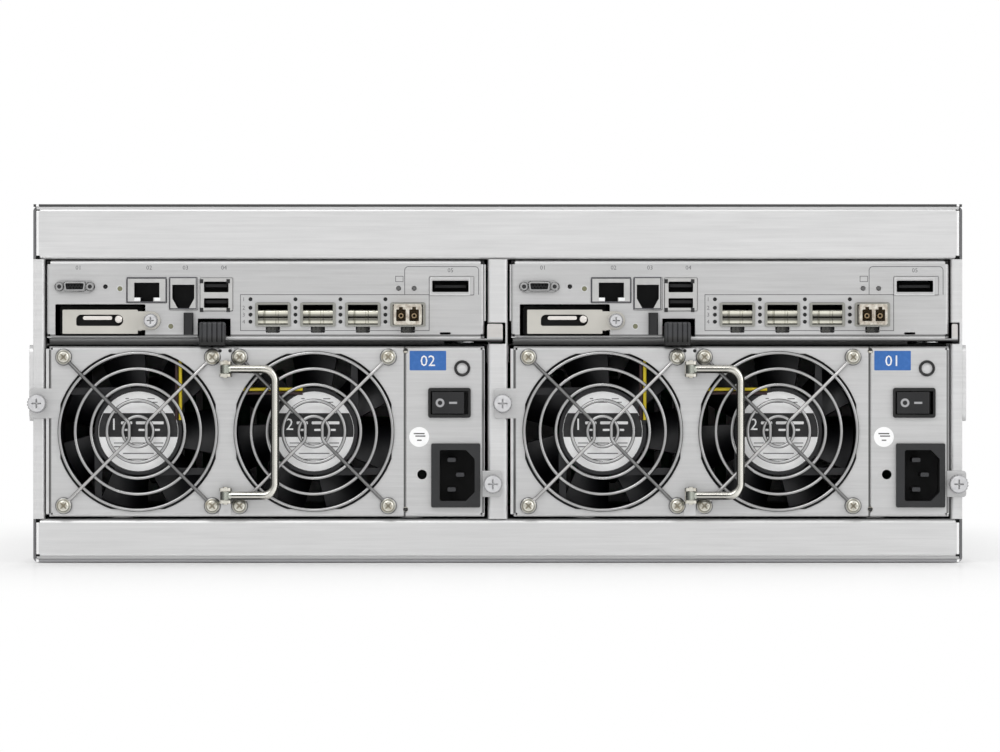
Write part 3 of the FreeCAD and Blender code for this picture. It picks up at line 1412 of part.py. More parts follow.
def supply_hardware():
    pieces = []
    seat = face - 2 * guard_wire - guard_gap - 0.05
    for u in fan_centres:
        for du in (-fan_screw, fan_screw):
            for dv in (-fan_screw, fan_screw):
                pieces.append(screw_y(u + du, fan_height + dv, seat, screw_head, screw_head_height,
                                      1.6, 9.0))
    for z in (handle_low, handle_high):
        pieces.append(handle_bracket(z))
    floor = face - inlet_flange + inlet_depth
    width, height, length = inlet_pin
    for du, dv in inlet_pins:
        u = inlet[0] + du
        v = inlet[2] + dv
        pieces.append(plate(u - width / 2, u + width / 2, v - height / 2, v + height / 2,
                            floor - length, floor, 0.6))
    for z in (3.5, supply_height - 2.2):
        pieces.append(turned([(0, face - 0.6), (0.9, face - 0.6), (1.3, face), (0, face)], seam, z))
    return group(pieces)


def thumb_screw(u, z):
    return knurled_screw(u, z, thumb_radius, face, rear - thumb_reach, rear + thumb_length)


def fan_leads():
    """Two leads of each fan, laid along a strut and through the frame's notch."""
    pieces = []
    for index in (0, 1):
        y = fan_face + 1.1
        for shift in (-lead_spread, lead_spread):
            u = strut_offset + shift
            corner = fan_size / 2 - 2.2
            route = [Vector(u, y, 5.5), Vector(u, y, corner), Vector(u, y + 9.0, corner)]
            lead = pipe(route, lead_radius)
            pieces.append(seat_fan(lead, index))
    return group(pieces)


# ---- the nodes --------------------------------------------------------------------
def build():
    nodes = {
        "chassis_base": chassis_base(),
        "top_cover": top_cover(),
        "rear_top_panel": rear_top_panel(),
        "rear_bottom_panel": rear_bottom_panel(),
        "centre_divider": centre_divider(),
        "bay_shelves": group([bay_shelf(-1), bay_shelf(1)]),
        "midplane_board": midplane_board(),
        "midplane_connectors": midplane_connectors(),
        "drive_cage": drive_cage(),
        "rack_ear_left": rack_ear(-1),
        "rack_ear_right": rack_ear(1),
        "side_rails": group([side_rail(-1), side_rail(1)]),
        "chassis_screws": chassis_screws(),
        "drive_carriers": group([drive_carrier(c, r) for c, r in bays(False)]),
        "drive_latches": group([drive_latch(c, r) for c, r in bays(False)]),
        "disk_drives": group([disk_drive(c, r) for c, r in bays(False)]),
        "drive_carrier_out": drive_carrier(moving_column, moving_row),
        "drive_latch_out": drive_latch(moving_column, moving_row),
        "disk_drive_out": disk_drive(moving_column, moving_row),
    }
    controller = {
        "canister": canister(),
        "port_shells": port_shells(),
        "port_inserts": port_inserts(),
        "release_tab": release_tab(),
        "battery_module": battery_module(),
        "battery_screw": battery_thumb_screw(),
        "transceiver": transceiver(),
    }
    supply = {
        "supply_case": supply_case(),
        "fan_frames": group([fan_frame(0), fan_frame(1)]),
        "fan_rotor_a": fan_rotor(0),
        "fan_rotor_b": fan_rotor(1),
        "fan_guards": group([wire_guard(0), wire_guard(1)]),
        "bail_handle": bail_handle(),
        "ac_fittings": ac_fittings(),
        "power_rocker": rocker(),
        "supply_hardware": supply_hardware(),
        "thumb_screw_upper": thumb_screw(-thumb_offset, thumb_upper),
        "thumb_screw_lower": thumb_screw(thumb_offset, thumb_lower),
        "fan_leads": fan_leads(),
    }
    for label, middle, tip in (("left", -bay_middle, hook_tip_left),
                               ("right", bay_middle, hook_tip_right)):
        nodes["ejector_lever_" + label] = moved(lever(tip), middle, controller_bottom)
        for name, shape in controller.items():
            nodes[name + "_" + label] = moved(shape, middle, controller_bottom)
        for name, shape in supply.items():
            nodes[name + "_" + label] = moved(shape, middle, supply_bottom)
    return nodes


def main():
    os.makedirs("parts", exist_ok=True)
    for name, shape in build().items():
        shape.exportStep("parts/" + name + ".step")
        print(name, len(shape.Solids), "solid(s)", round(shape.Volume), "mm3")


main()
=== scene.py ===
import math
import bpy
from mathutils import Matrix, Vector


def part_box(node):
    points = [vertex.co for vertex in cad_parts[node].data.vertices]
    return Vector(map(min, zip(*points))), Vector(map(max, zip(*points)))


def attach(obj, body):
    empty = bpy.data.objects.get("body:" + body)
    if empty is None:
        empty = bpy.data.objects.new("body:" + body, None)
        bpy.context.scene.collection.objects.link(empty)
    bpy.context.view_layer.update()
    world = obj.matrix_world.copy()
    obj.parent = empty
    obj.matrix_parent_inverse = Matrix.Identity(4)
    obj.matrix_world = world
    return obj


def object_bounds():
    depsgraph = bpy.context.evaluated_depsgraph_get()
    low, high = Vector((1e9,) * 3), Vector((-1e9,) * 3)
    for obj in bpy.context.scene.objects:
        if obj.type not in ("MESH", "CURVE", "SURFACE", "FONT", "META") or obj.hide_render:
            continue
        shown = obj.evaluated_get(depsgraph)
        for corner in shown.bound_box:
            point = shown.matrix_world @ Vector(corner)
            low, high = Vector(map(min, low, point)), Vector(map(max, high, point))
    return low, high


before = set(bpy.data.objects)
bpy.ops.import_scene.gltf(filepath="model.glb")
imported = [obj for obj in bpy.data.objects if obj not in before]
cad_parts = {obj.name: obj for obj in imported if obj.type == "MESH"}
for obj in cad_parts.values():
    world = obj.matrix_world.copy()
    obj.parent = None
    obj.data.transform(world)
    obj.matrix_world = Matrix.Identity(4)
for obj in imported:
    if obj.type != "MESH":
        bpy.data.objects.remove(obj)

from types import SimpleNamespace

import bpy
import numpy as np
from mathutils import Vector

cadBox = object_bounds()
sides = ("left", "right")
print("frame loaded:", len(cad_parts), "nodes")


# places that everything else is hung from
def bayMiddle(side):
    low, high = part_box("canister_" + side)
    return (low[0] + high[0]) / 2


# a fan's axis, from the guards that stand round both fans: x and level
def fanCentre(side, letter):
    low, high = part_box("fan_guards_" + side)
    half = (high[2] - low[2]) / 2
    return low[0] + half if letter == "a" else high[0] - half, (low[2] + high[2]) / 2


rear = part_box("chassis_base")[0][1]
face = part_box("supply_case_left")[0][1]
bayShift = bayMiddle("right")
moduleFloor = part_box("battery_module_right")[0][2] - 0.0015      # underside of the controllers
cagePitch = 0.02165            # optical cages, one to the next
seamPlace = 0.06695            # seam in a supply's face
fanReach = 0.03575             # fan screws from the fan's axis, each way
hair = 0.00002                 # how far a print or a plate goes into what carries it
print("bay middle", round(bayShift, 5), "rear", round(rear, 5), "supply face", round(face, 5))


# camera, at the level of the chassis, looking straight at its rear
cameraSetup = {
    "distance": 3.0,
    "frameWidth": 0.4812,      # how much of the rear plane the picture's width takes in
    "sensor": 36.0,
    "x": 0.00108,
    "z": 0.0895,
}


def addObject(name, data):
    made = bpy.data.objects.new(name, data)
    bpy.context.collection.objects.link(made)
    return made


def makeCamera(setup):
    data = bpy.data.cameras.new("camera")
    data.sensor_width = setup["sensor"]
    data.lens = setup["sensor"] * setup["distance"] / setup["frameWidth"]
    data.clip_start = 0.05
    data.clip_end = 50
    camera = addObject("camera", data)
    camera.location = (setup["x"], rear - setup["distance"], setup["z"])
    camera.rotation_euler = (math.radians(90), 0, 0)
    bpy.context.scene.camera = camera


makeCamera(cameraSetup)
print("camera placed")

finishes = {}      # every material by its name
looks = ("Base Color", "Roughness", "Metallic")
edgeSoft = 0.00004             # half the width over which a mask turns from 0 to 1


# node helpers
def isSocket(value):
    return isinstance(value, bpy.types.NodeSocket)


def join(source, target):
    target.id_data.links.new(source, target)


# puts a number, a grey, a colour or another node's output on a socket
def feed(socket, value):
    if isSocket(value):
        join(value, socket)
    elif socket.type != "RGBA":
        socket.default_value = value
    else:
        colour = (value,) * 3 if isinstance(value, float) else tuple(value)[:3]
        socket.default_value = (*colour, 1)


# new node in the tree that its owner is in; its inputs take the values in order, None leaves one as it is
def addNode(owner, kind, *values):
    node = owner.id_data.nodes.new("ShaderNode" + kind)
    for socket, value in zip(node.inputs, values):
        if value is not None:
            feed(socket, value)
    return node


def newFinish(name):
    material = bpy.data.materials.new(name)
    material.use_nodes = True
    nodes = material.node_tree.nodes
    nodes.clear()
    shader = nodes.new("ShaderNodeBsdfPrincipled")
    join(shader.outputs[0], nodes.new("ShaderNodeOutputMaterial").inputs[0])
    finishes[name] = material
    return shader


# object coordinates times a scale in 1/m, one for all axes or one for each
def objectPlace(owner, scale):
    scale = scale if isinstance(scale, tuple) else (scale,) * 3
    coords = addNode(owner, "TexCoord").outputs["Object"]
    return addNode(owner, "Mapping", coords, None, None, scale).outputs[0]


def noise(owner, scale, detail, roughness=0.5):
    where = objectPlace(owner, scale)
    return addNode(owner, "TexNoise", where, None, 1.0, detail, roughness).outputs["Fac"]


def mapRange(value, fromLow, fromHigh, toLow=0.0, toHigh=1.0):
    return addNode(value, "MapRange", value, fromLow, fromHigh, toLow, toHigh).outputs[0]


def mixNumber(factor, first, second):
    return addNode(factor, "Mix", factor, None, first, second).outputs[0]


def mixColour(factor, first, second, blend="MIX"):
    node = addNode(factor, "Mix", factor)
    node.data_type = "RGBA"
    node.blend_type = blend
    feed(node.inputs[6], first)
    feed(node.inputs[7], second)
    return node.outputs[2]


def maths(operation, first, second=0.0):
    node = addNode(first if isSocket(first) else second, "Math", first, second)
    node.operation = operation
    return node.outputs[0]


def plus(first, second):
    return maths("ADD", first, second)


def minus(first, second):
    return maths("SUBTRACT", first, second)


def times(first, second):
    return maths("MULTIPLY", first, second)


def magnitude(value):
    return maths("ABSOLUTE", value)


# root of the sum of two squares
def distance(first, second):
    return maths("SQRT", plus(times(first, first), times(second, second)))


# masks: 0 under the edge, 1 over it
def over(value, edge, soft=edgeSoft):
    node = addNode(value, "MapRange", value, edge - soft, edge + soft)
    node.interpolation_type = "SMOOTHSTEP"
    return node.outputs[0]


def under(value, edge, soft=edgeSoft):
    return minus(1.0, over(value, edge, soft))


def allOf(*masks):
    result = masks[0]
    for mask in masks[1:]:
        result = times(result, mask)
    return result


def anyOf(*masks):
    result = masks[-1]
    for mask in masks[-2::-1]:
        result = maths("MAXIMUM", mask, result)
    return result


def within(value, low, high, soft=edgeSoft):
    return allOf(over(value, low, soft), under(value, high, soft))


# object coordinates in metres and the way a face looks; u runs from the middle line of the nearer bay
def places(owner):
    coords = addNode(owner, "TexCoord")
    x, y, z = addNode(owner, "SeparateXYZ", coords.outputs["Object"]).outputs
    nx, ny, nz = addNode(owner, "SeparateXYZ", coords.outputs["Normal"]).outputs
    u = minus(x, times(maths("SIGN", x), bayShift))
    return SimpleNamespace(x=x, y=y, z=z, u=u, nx=nx, ny=ny, nz=nz)


# colour, roughness and metallic of a shader
def paint(shader, *values):
    for name, value in zip(looks, values):
        feed(shader.inputs[name], value)


# bump from a height; a radius rounds the edges too
def bump(shader, height, strength, reach, edge=None):
    node = addNode(shader, "Bump", strength, reach)
    join(height, node.inputs["Height"])
    join(node.outputs[0], shader.inputs["Normal"])
    if edge:
        rounded = addNode(shader, "Bevel", edge)
        rounded.samples = 4
        join(rounded.outputs[0], node.inputs["Normal"])


# lays another finish over a shader where the mask is 1
def cover(shader, mask, colour=None, rough=None, metallic=None):
    for name, value in zip(looks, (colour, rough, metallic)):
        if value is None:
            continue
        socket = shader.inputs[name]
        before = socket.links[0].from_socket if socket.is_linked else socket.default_value
        mix = mixColour if name == looks[0] else mixNumber
        join(mix(mask, before, value), socket)


def scaled(colour, factor, extra=0.0):
    return tuple(min(1.0, c * factor + extra) for c in colour)


# sheet metal: long grain along X, or along Y on the side walls, blotches of the plating, fine specks
def sheetMetal(name, tone, roughness, grain=1.0, warmth=0.0, metallic=0.75, edge=0.0005):
    shader = newFinish(name)
    facing = addNode(shader, "SeparateXYZ", addNode(shader, "TexCoord").outputs["Normal"]).outputs
    sideways = maths("GREATER_THAN", magnitude(facing[0]), 0.7)
    streak = mixNumber(sideways, noise(shader, (30, 900, 900), 3.0, 0.6),
                       noise(shader, (900, 30, 900), 3.0, 0.6))
    blotch = noise(shader, (14, 14, 22), 2.0)
    speck = noise(shader, 900, 2.0)
    light = (tone * (1 + warmth), tone, tone * (1 - warmth))
    dark = scaled(light, 1 - 0.12 * grain)
    bright = scaled(light, 1 + 0.07 * grain)
    colour = mixColour(mapRange(streak, 0.3, 0.7), dark, bright)
    colour = mixColour(mapRange(blotch, 0.35, 0.7, 0.0, 0.35), colour, scaled(light, 0.93))
    colour = mixColour(mapRange(speck, 0.62, 0.8, 0.0, 0.3), colour, bright)
    # broad top and side sheets are rougher and less metallic than the faces at the rear, and their colour
    # is darkened by facing as painted shade
    broad = over(anyOf(facing[2], magnitude(facing[0])), 0.9, 0.02)
    paint(shader, mixColour(broad, colour, 0.72, "MULTIPLY"),
          mapRange(streak, 0.2, 0.8, roughness - 0.06, roughness + 0.08), metallic)
    cover(shader, broad, None, roughness + 0.16, metallic * 0.6)
    bump(shader, streak, 0.10 * grain, 0.00006, edge)
    return shader


# grey by position along a value, through the given stops
def ramp(value, low, high, stops, tint=(1.0, 1.0, 1.0)):
    node = addNode(value, "ValToRGB", mapRange(value, low, high))
    steps = node.color_ramp.elements
    while len(steps) < len(stops):
        steps.new(0.5)
    for step, (place, grey) in zip(steps, stops):
        step.position = place
        step.color = (grey * tint[0], grey * tint[1], grey * tint[2], 1)
    return node.outputs[0]


# bright plated wire and screws; the flanks of a round wire pick up the dark around it
def platedMetal(name, colour, roughness, edge=0.0003, flank=0.0, metallic=1.0, turn=0.74):
    shader = newFinish(name)
    blotch = noise(shader, 160, 3.0)
    paint(shader, mixColour(mapRange(blotch, 0.35, 0.7, 0.0, 0.6), colour, scaled(colour, 0.78)),
          mapRange(blotch, 0.3, 0.7, roughness, roughness + 0.12), metallic)
    bump(shader, blotch, 0.05, 0.00005, edge)
    if flank:
        turned = under(magnitude(places(shader).ny), turn, 0.14)
        cover(shader, times(turned, flank), (0.03, 0.03, 0.026))
    return shader


# moulded plastic with a fine spark-eroded grain
def mouldedPlastic(name, colour, roughness, grain=0.25, edge=0.0003):
    shader = newFinish(name)
    dust = noise(shader, 45, 3.0)
    paint(shader, mixColour(mapRange(dust, 0.4, 0.75, 0.0, 0.6), colour, scaled(colour, 1.25, 0.006)),
          mapRange(dust, 0.3, 0.7, roughness - 0.05, roughness + 0.08))
    bump(shader, noise(shader, 1500, 2.0), grain, 0.00008, edge)
    return shader


def circuitBoard(name):
    shader = newFinish(name)
    tracks = addNode(shader, "TexBrick", objectPlace(shader, 300),
                     (0.01, 0.13, 0.05), (0.014, 0.17, 0.07), (0.02, 0.22, 0.09))
    paint(shader, tracks.outputs["Color"], 0.35)
    bump(shader, tracks.outputs["Fac"], 0.2, 0.00005)


# ink or paint in one colour with a little unevenness
def ink(name, colour, roughness=0.6):
    shader = newFinish(name)
    worn = noise(shader, 600, 3.0)
    paint(shader, mixColour(mapRange(worn, 0.45, 0.75, 0.0, 0.5), colour, scaled(colour, 1.2, 0.02)),
          roughness)


# chassis: painted shade on the sheets' edges round the two bars and in the bend reliefs
chassisFinish = {
    "tone": 0.73,
    "edgeShade": (0.15, 0.15, 0.155),
    "lip": (0.30, 0.30, 0.31),
    "lipHeight": 0.0013,
    "coverEdge": 0.0012,       # thickness of the top cover's cut edge
    "shelfLevels": (0.090, 0.1105),
    "shelfReach": (0.0052, 0.2170),
    "reliefReach": 0.0035,
    "reliefHeight": 0.0042,
}


def chassisMetal(values):
    shader = sheetMetal("chassisZinc", values["tone"], 0.42, 0.55)
    at = places(shader)
    out = magnitude(at.x)
    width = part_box("chassis_base")[1][0]
    height = cadBox[1][2]
    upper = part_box("rear_top_panel")[0][2]
    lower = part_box("rear_bottom_panel")[1][2]
    atRear = under(at.y, rear + 0.004)
    toRear = under(at.ny, -0.5, 0.1)
    beside = anyOf(over(at.z, upper), under(at.z, lower))
    cover(shader, allOf(over(out, width - 0.0013), beside, atRear, toRear), values["edgeShade"], 0.6, 0.3)
    edgeFoot = height - values["coverEdge"]
    # painted shade on the top cover's edge, darkest at its foot and lighter towards the top
    coverEdge = ramp(at.z, edgeFoot, height, ((0.0, 0.035), (0.6, 0.055), (1.0, 0.16)))
    atEdge = allOf(over(at.z, edgeFoot - hair), atRear)
    cover(shader, allOf(atEdge, toRear), coverEdge, 0.6, 0.2)
    # painted shade along the foot of the rear sheets, by the floor
    cover(shader, allOf(under(at.z, values["lipHeight"]), atRear), values["lip"], 0.6, 0.3)
    # the bars' side bends catch the light, the shelf edges between the modules don't
    bend = within(out, width - 0.0026, width - 0.0014)
    cover(shader, allOf(beside, bend, under(at.y, rear + 0.0025)), 0.95)
    low, high = values["shelfLevels"]
    inner, outer = values["shelfReach"]
    shelf = allOf(within(at.z, low, high), under(at.y, rear + 0.02), over(at.y, rear + 0.0002),
                  over(out, inner), under(out, outer))
    cover(shader, shelf, 0.05, 0.6, 0.2)
    # painted shade in the bend reliefs at the sheets' corners
    tall = values["reliefHeight"]
    levels = anyOf(over(at.z, height - tall), within(at.z, upper - 0.001, upper + 0.0019),
                   within(at.z, lower - 0.0019, lower + 0.001), under(at.z, tall))
    relief = allOf(over(out, width - values["reliefReach"]), levels, beside,
                   within(at.y, rear + 0.0006, rear + 0.006))
    cover(shader, relief, 0.02, 0.7, 0.0)


# controller case: painted shade in the bend reliefs at the corners of its face, a painted shade band along
# the hem over a painted highlight on the lip
canisterFinish = {"tone": 0.590, "relief": 0.0021, "hemShade": (0.0007, 0.0016), "lip": 0.0006}


def canisterMetal(values):
    shader = sheetMetal("canisterZinc", values["tone"], 0.42, 0.65)
    at = places(shader)
    low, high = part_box("canister_right")
    reach = values["relief"]
    ends = anyOf(over(at.z, high[2] - reach), under(at.z, moduleFloor + reach))
    relief = allOf(over(magnitude(at.u), (high[0] - low[0]) / 2 - reach), ends,
                   within(at.y, rear + 0.0005, rear + 0.006))
    cover(shader, relief, 0.015, 0.7, 0.0)
    nearFace = under(at.y, rear + 0.003)
    hemLow, hemHigh = values["hemShade"]
    hemShade = allOf(within(at.z, moduleFloor + hemLow, moduleFloor + hemHigh), nearFace)
    cover(shader, times(hemShade, 0.75), 0.10)
    # painted highlight along the lip at the foot of the face
    cover(shader, allOf(under(at.z, moduleFloor + values["lip"]), nearFace), 0.86, 0.4)


# supply case: its bent side edges and top fall off into shade; a seam and a fold cross its face
supplyFinish = {"tone": 0.625, "seamHalf": 0.00045, "fold": (0.1040, 0.1044), "crown": 0.0011}


def supplyMetal(values):
    shader = sheetMetal("supplyZinc", values["tone"], 0.44, 0.65)
    at = places(shader)
    atFace = under(at.y, face + 0.003)
    cover(shader, times(allOf(over(magnitude(at.nx), 0.35, 0.1), atFace), 0.8), 0.10)
    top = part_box("supply_case_right")[1][2]
    cover(shader, times(allOf(over(at.z, top - values["crown"], 0.0003), atFace), 0.55), 0.16)
    seam = within(at.u, seamPlace - values["seamHalf"], seamPlace + values["seamHalf"])
    lines = anyOf(times(seam, 0.9), times(within(at.u, *values["fold"]), 0.5))
    cover(shader, allOf(lines, atFace), 0.045, 0.6, 0.0)


# ejector lever: its long arm lies in the shade under the controller
def leverMetal(shadeFrom=0.1058, shadeTo=0.1082):
    shader = sheetMetal("leverSteel", 0.64, 0.38, 0.6, 0.03)
    at = places(shader)
    stops = ((0.0, 0.012), (0.25, 0.03), (0.45, 0.16), (0.65, 0.50), (1.0, 0.64))
    cover(shader, under(at.z, shadeTo, 0.0002), ramp(at.z, shadeFrom, shadeTo, stops), 0.5)


# filler strips: tone by level, painted shade low down beside the floor, and on the nose under the
# controllers a ramp from painted shade up to pale
def edgeMetal():
    shader = sheetMetal("edgeZinc", 0.66, 0.42, 0.5)
    at = places(shader)
    bottom = ramp(at.z, 0.0, 0.0030, ((0.0, 0.22), (0.5, 0.36), (1.0, 0.55)))
    cover(shader, under(at.z, 0.004), bottom, 0.5, 0.4)
    nose = ramp(at.z, 0.1042, 0.1078, ((0.0, 0.05), (0.5, 0.17), (0.8, 0.50), (1.0, 0.75)))
    cover(shader, within(at.z, 0.100, 0.110), nose, 0.6, 0.2)


# drive carriers: charcoal bezels, each with a green and an amber lens at its end
carrierFinish = {
    "colour": (0.040, 0.041, 0.045),
    "amber": (0.30, 0.17, 0.02),
    "green": (0.03, 0.36, 0.09),
    "lensPlace": 0.0488,       # lenses from the middle of a carrier
    "lensHalfGap": 0.0034,
    "lensRadius": 0.0018,
    "rimRadius": 0.0024,
}


def carrierMoulded(values):
    shader = mouldedPlastic("carrierPlastic", values["colour"], 0.46, 0.35)
    at = places(shader)
    # the drive side's cells, from the fixed carriers' box
    low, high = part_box("drive_carriers")
    wide = (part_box("chassis_base")[1][0] * 2 - 0.0024) / 4
    foot = low[2] - 0.0002
    tall = (high[2] + 0.0002 - foot) / 6
    across = maths("FRACT", maths("DIVIDE", plus(at.x, 2 * wide), wide))
    upward = maths("FRACT", maths("DIVIDE", minus(at.z, foot), tall))
    du = minus(times(across, wide), wide / 2 + values["lensPlace"])
    dz = minus(times(upward, tall), tall / 2)
    far = distance(du, minus(magnitude(dz), values["lensHalfGap"]))
    onFront = over(at.y, high[1] - 0.0003)
    cover(shader, allOf(under(far, values["rimRadius"], 0.0001), onFront), (0.006, 0.006, 0.007), 0.5)
    glass = mixColour(over(dz, 0.0), values["amber"], values["green"])
    cover(shader, allOf(under(far, values["lensRadius"], 0.0001), onFront), glass, 0.15)


# ribbed release tab: grey at its top, black in the shade under the controller
def tabPlastic(shadeFrom=0.1040, shadeTo=0.1085):
    shader = mouldedPlastic("greyPlastic", (0.034, 0.035, 0.038), 0.5)
    at = places(shader)
    shade = ramp(at.z, shadeFrom, shadeTo, ((0.0, 0.003), (0.55, 0.006), (1.0, 0.034)))
    cover(shader, under(at.z, shadeTo, 0.0002), shade)


# ports: plated faces, insides painted black as shade, brass-toned doors in the optical cages with painted
# highlights and shade
portFinish = {
    "colour": (0.60, 0.60, 0.59),
    "cagesFrom": -0.009,       # u where the optical cages start
    "doorLevels": (-0.0048, 0.0023),     # from the middle of a cage
    "doorStops": ((0.0, 0.03), (0.10, 0.95), (0.21, 0.85), (0.31, 0.20), (0.43, 0.13), (0.50, 0.02),
                  (0.57, 0.14), (0.68, 0.36), (0.79, 0.95), (0.93, 0.95), (1.0, 0.40)),
    "doorTint": (1.0, 0.98, 0.84),
    "jackPlates": (-0.0690, -0.0320),
    "jackLevel": 0.0291,
    "wideFrom": 0.0785,
    "wideLevel": 0.0190,
    "serialTo": -0.078,
}


def portMetal(values):
    shader = platedMetal("portPlate", values["colour"], 0.32, 0.0003, 0.0, 0.7)
    at = places(shader)
    cageLow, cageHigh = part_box("transceiver_right")
    centre = (cageLow[2] + cageHigh[2]) / 2
    low, top = (centre + level for level in values["doorLevels"])
    caged = allOf(over(at.u, values["cagesFrom"]), under(at.z, centre + 0.0075))
    # painted black shade in the ports' insides, outside the optical cages
    cover(shader, allOf(minus(1.0, caged), over(at.y, rear - 0.00035)), (0.006, 0.006, 0.007), 0.6, 0.0)
    # collar: panel grey, with painted shade on its turned rims and corners
    collar = allOf(caged, over(at.z, centre - 0.0057))
    cover(shader, collar, (0.36, 0.36, 0.33), 0.30, 0.8)
    turned = under(magnitude(at.ny), 0.8, 0.1)
    cover(shader, allOf(collar, turned), (0.02, 0.019, 0.016))
    # two rolled swellings in each door: painted highlights along the outer halves, painted olive shade by
    # the fold
    door = allOf(caged, within(at.z, low - 0.0003, top + 0.0002), over(at.y, rear + 0.0009))
    cover(shader, door, ramp(at.z, low, top, values["doorStops"], values["doorTint"]), 0.25, 0.6)
    # place across one cage, 0 to 1
    cell = maths("FRACT", maths("DIVIDE", plus(at.u, 0.0075), cagePitch))
    # painted shade in the folds across each door
    folds = anyOf(within(cell, 0.315, 0.345, 0.006), within(cell, 0.565, 0.580, 0.004))
    cover(shader, times(allOf(folds, door), 0.6), (0.10, 0.095, 0.06))
    # painted black shade in the slot above the doors
    slot = allOf(caged, over(at.y, rear + 0.0002), over(at.z, top + 0.0002))
    cover(shader, slot, (0.008, 0.008, 0.007), 0.6, 0.0)
    tab = allOf(caged, under(at.z, centre - 0.0058))
    cover(shader, tab, (0.075, 0.075, 0.07), 0.4, 0.7)
    tabEnds = anyOf(within(cell, 0.28, 0.345, 0.01), within(cell, 0.575, 0.64, 0.01))
    cover(shader, allOf(tab, tabEnds), 0.02)
    # the jacks' plates are as grey as the panel above their rims
    above = allOf(within(at.u, *values["jackPlates"]), over(at.z, moduleFloor + values["jackLevel"]))
    cover(shader, above, 0.50, 0.42)
    wide = allOf(over(at.u, values["wideFrom"]), over(at.z, moduleFloor + values["wideLevel"]),
                 under(at.y, rear + 0.0001))
    cover(shader, wide, 0.55, 0.42)
    # the small D connector is darker steel with shaded flanks
    serial = under(at.u, values["serialTo"])
    cover(shader, allOf(serial, under(at.y, rear - 0.0006)), 0.42)
    cover(shader, allOf(serial, turned), 0.02)


# battery: warm painted plate, painted black shade behind it and in the finger recess, a bright bar with
# painted shade on its flanks
def batteryPaint():
    shader = mouldedPlastic("batteryPlate", (0.49, 0.475, 0.435), 0.42, 0.1)
    at = places(shader)
    cover(shader, over(at.y, rear - 0.00045), 0.010, 0.7)
    raised = allOf(under(at.y, rear - 0.0016), under(at.u, -0.0675))
    cover(shader, raised, (0.86, 0.82, 0.78), 0.25, 0.6)
    cover(shader, allOf(raised, under(magnitude(at.ny), 0.7, 0.1)), (0.05, 0.045, 0.04))


# optical module: warm mottled metal, brown bores
def opticMetal(wall=0.0007, boreDepth=0.016):
    shader = platedMetal("opticPlate", (0.58, 0.52, 0.44), 0.30, 0.0003, 0.0, 0.8)
    at = places(shader)
    low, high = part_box("transceiver_right")
    tip = low[1]
    mottle = noise(shader, 420, 3.0)
    cover(shader, mapRange(mottle, 0.42, 0.66, 0.0, 0.9), (0.86, 0.83, 0.74))
    cover(shader, mapRange(mottle, 0.40, 0.30, 0.0, 0.7), (0.24, 0.20, 0.15))
    # the bores: their own brown, lightened against the shade deep in them as painted light, and a step
    # darker further in as painted shade
    inner = allOf(within(at.u, low[0] - bayShift + wall, high[0] - bayShift - wall),
                  within(at.z, low[2] + wall, high[2] - wall), under(at.y, tip + boreDepth))
    cover(shader, allOf(inner, over(at.y, tip + 0.0010)), (0.34, 0.25, 0.14), 0.5, 0.2)
    cover(shader, allOf(inner, over(at.y, tip + 0.0035)), (0.26, 0.19, 0.10), 0.6, 0.0)


# fan centres in a bay: middle and half distance in u, level
def fanLayout():
    first, second = fanCentre("right", "a"), fanCentre("right", "b")
    return (first[0] + second[0]) / 2 - bayShift, (second[0] - first[0]) / 2, first[1]


# hardware on the supply: the fan screws' rims painted wire-grey where the guard's loops lie, with a painted
# shade line in the groove
hardwareFinish = {
    "colour": (0.82, 0.80, 0.72),
    "rim": (0.00265, 0.0060),
    "groove": (0.00255, 0.00295),
    "screwRadius": 0.0042,
    "crossHalf": 0.00042,
    "crossReach": 0.0019,
    "pinsFrom": 0.0790,
    "rivetLevels": (0.0262, 0.1015),
}


def hardwareMetal(values):
    shader = platedMetal("hardwareNickel", values["colour"], 0.30)
    at = places(shader)
    middle, spread, level = fanLayout()
    dx = minus(magnitude(minus(magnitude(minus(at.u, middle)), spread)), fanReach)
    dz = minus(magnitude(minus(at.z, level)), fanReach)
    far = distance(dx, dz)
    screwFace = under(at.y, face - 0.0003)
    rim = allOf(within(far, *values["rim"], 0.0001), screwFace, under(far, values["screwRadius"]))
    cover(shader, rim, (0.42, 0.41, 0.36), 0.35, 0.8)
    groove = allOf(within(far, *values["groove"], 0.0001), screwFace)
    cover(shader, times(groove, 0.8), (0.10, 0.10, 0.08), 0.6, 0.0)
    # cross recess painted in as brown shade, its arms turned by 45 degrees
    slant = 0.70711
    armA = magnitude(times(plus(dx, dz), slant))
    armB = magnitude(times(minus(dx, dz), slant))
    cross = allOf(under(maths("MINIMUM", armA, armB), values["crossHalf"], 0.00015),
                  under(far, values["crossReach"], 0.0002), screwFace)
    cover(shader, times(cross, 0.8), (0.20, 0.17, 0.11))
    cover(shader, mapRange(noise(shader, 260, 2.0), 0.52, 0.7, 0.0, 0.5), (0.42, 0.36, 0.25))
    # painted shade on the flanks that turn away, clear of the screws
    turned = under(magnitude(at.ny), 0.5, 0.15)
    cover(shader, allOf(turned, over(far, 0.0045), under(at.y, face)), (0.07, 0.07, 0.05))
    # the inlet's pins painted dark, as shade inside the inlet
    pins = allOf(over(at.u, values["pinsFrom"]), over(at.y, face - 0.0002))
    cover(shader, pins, (0.045, 0.046, 0.05), 0.4, 0.4)
    # seam rivets are blackened
    low, high = values["rivetLevels"]
    rivets = allOf(within(at.u, seamPlace - 0.003, seamPlace + 0.003), screwFace,
                   anyOf(over(at.z, high), under(at.z, low)))
    cover(shader, rivets, 0.02, 0.5, 0.2)


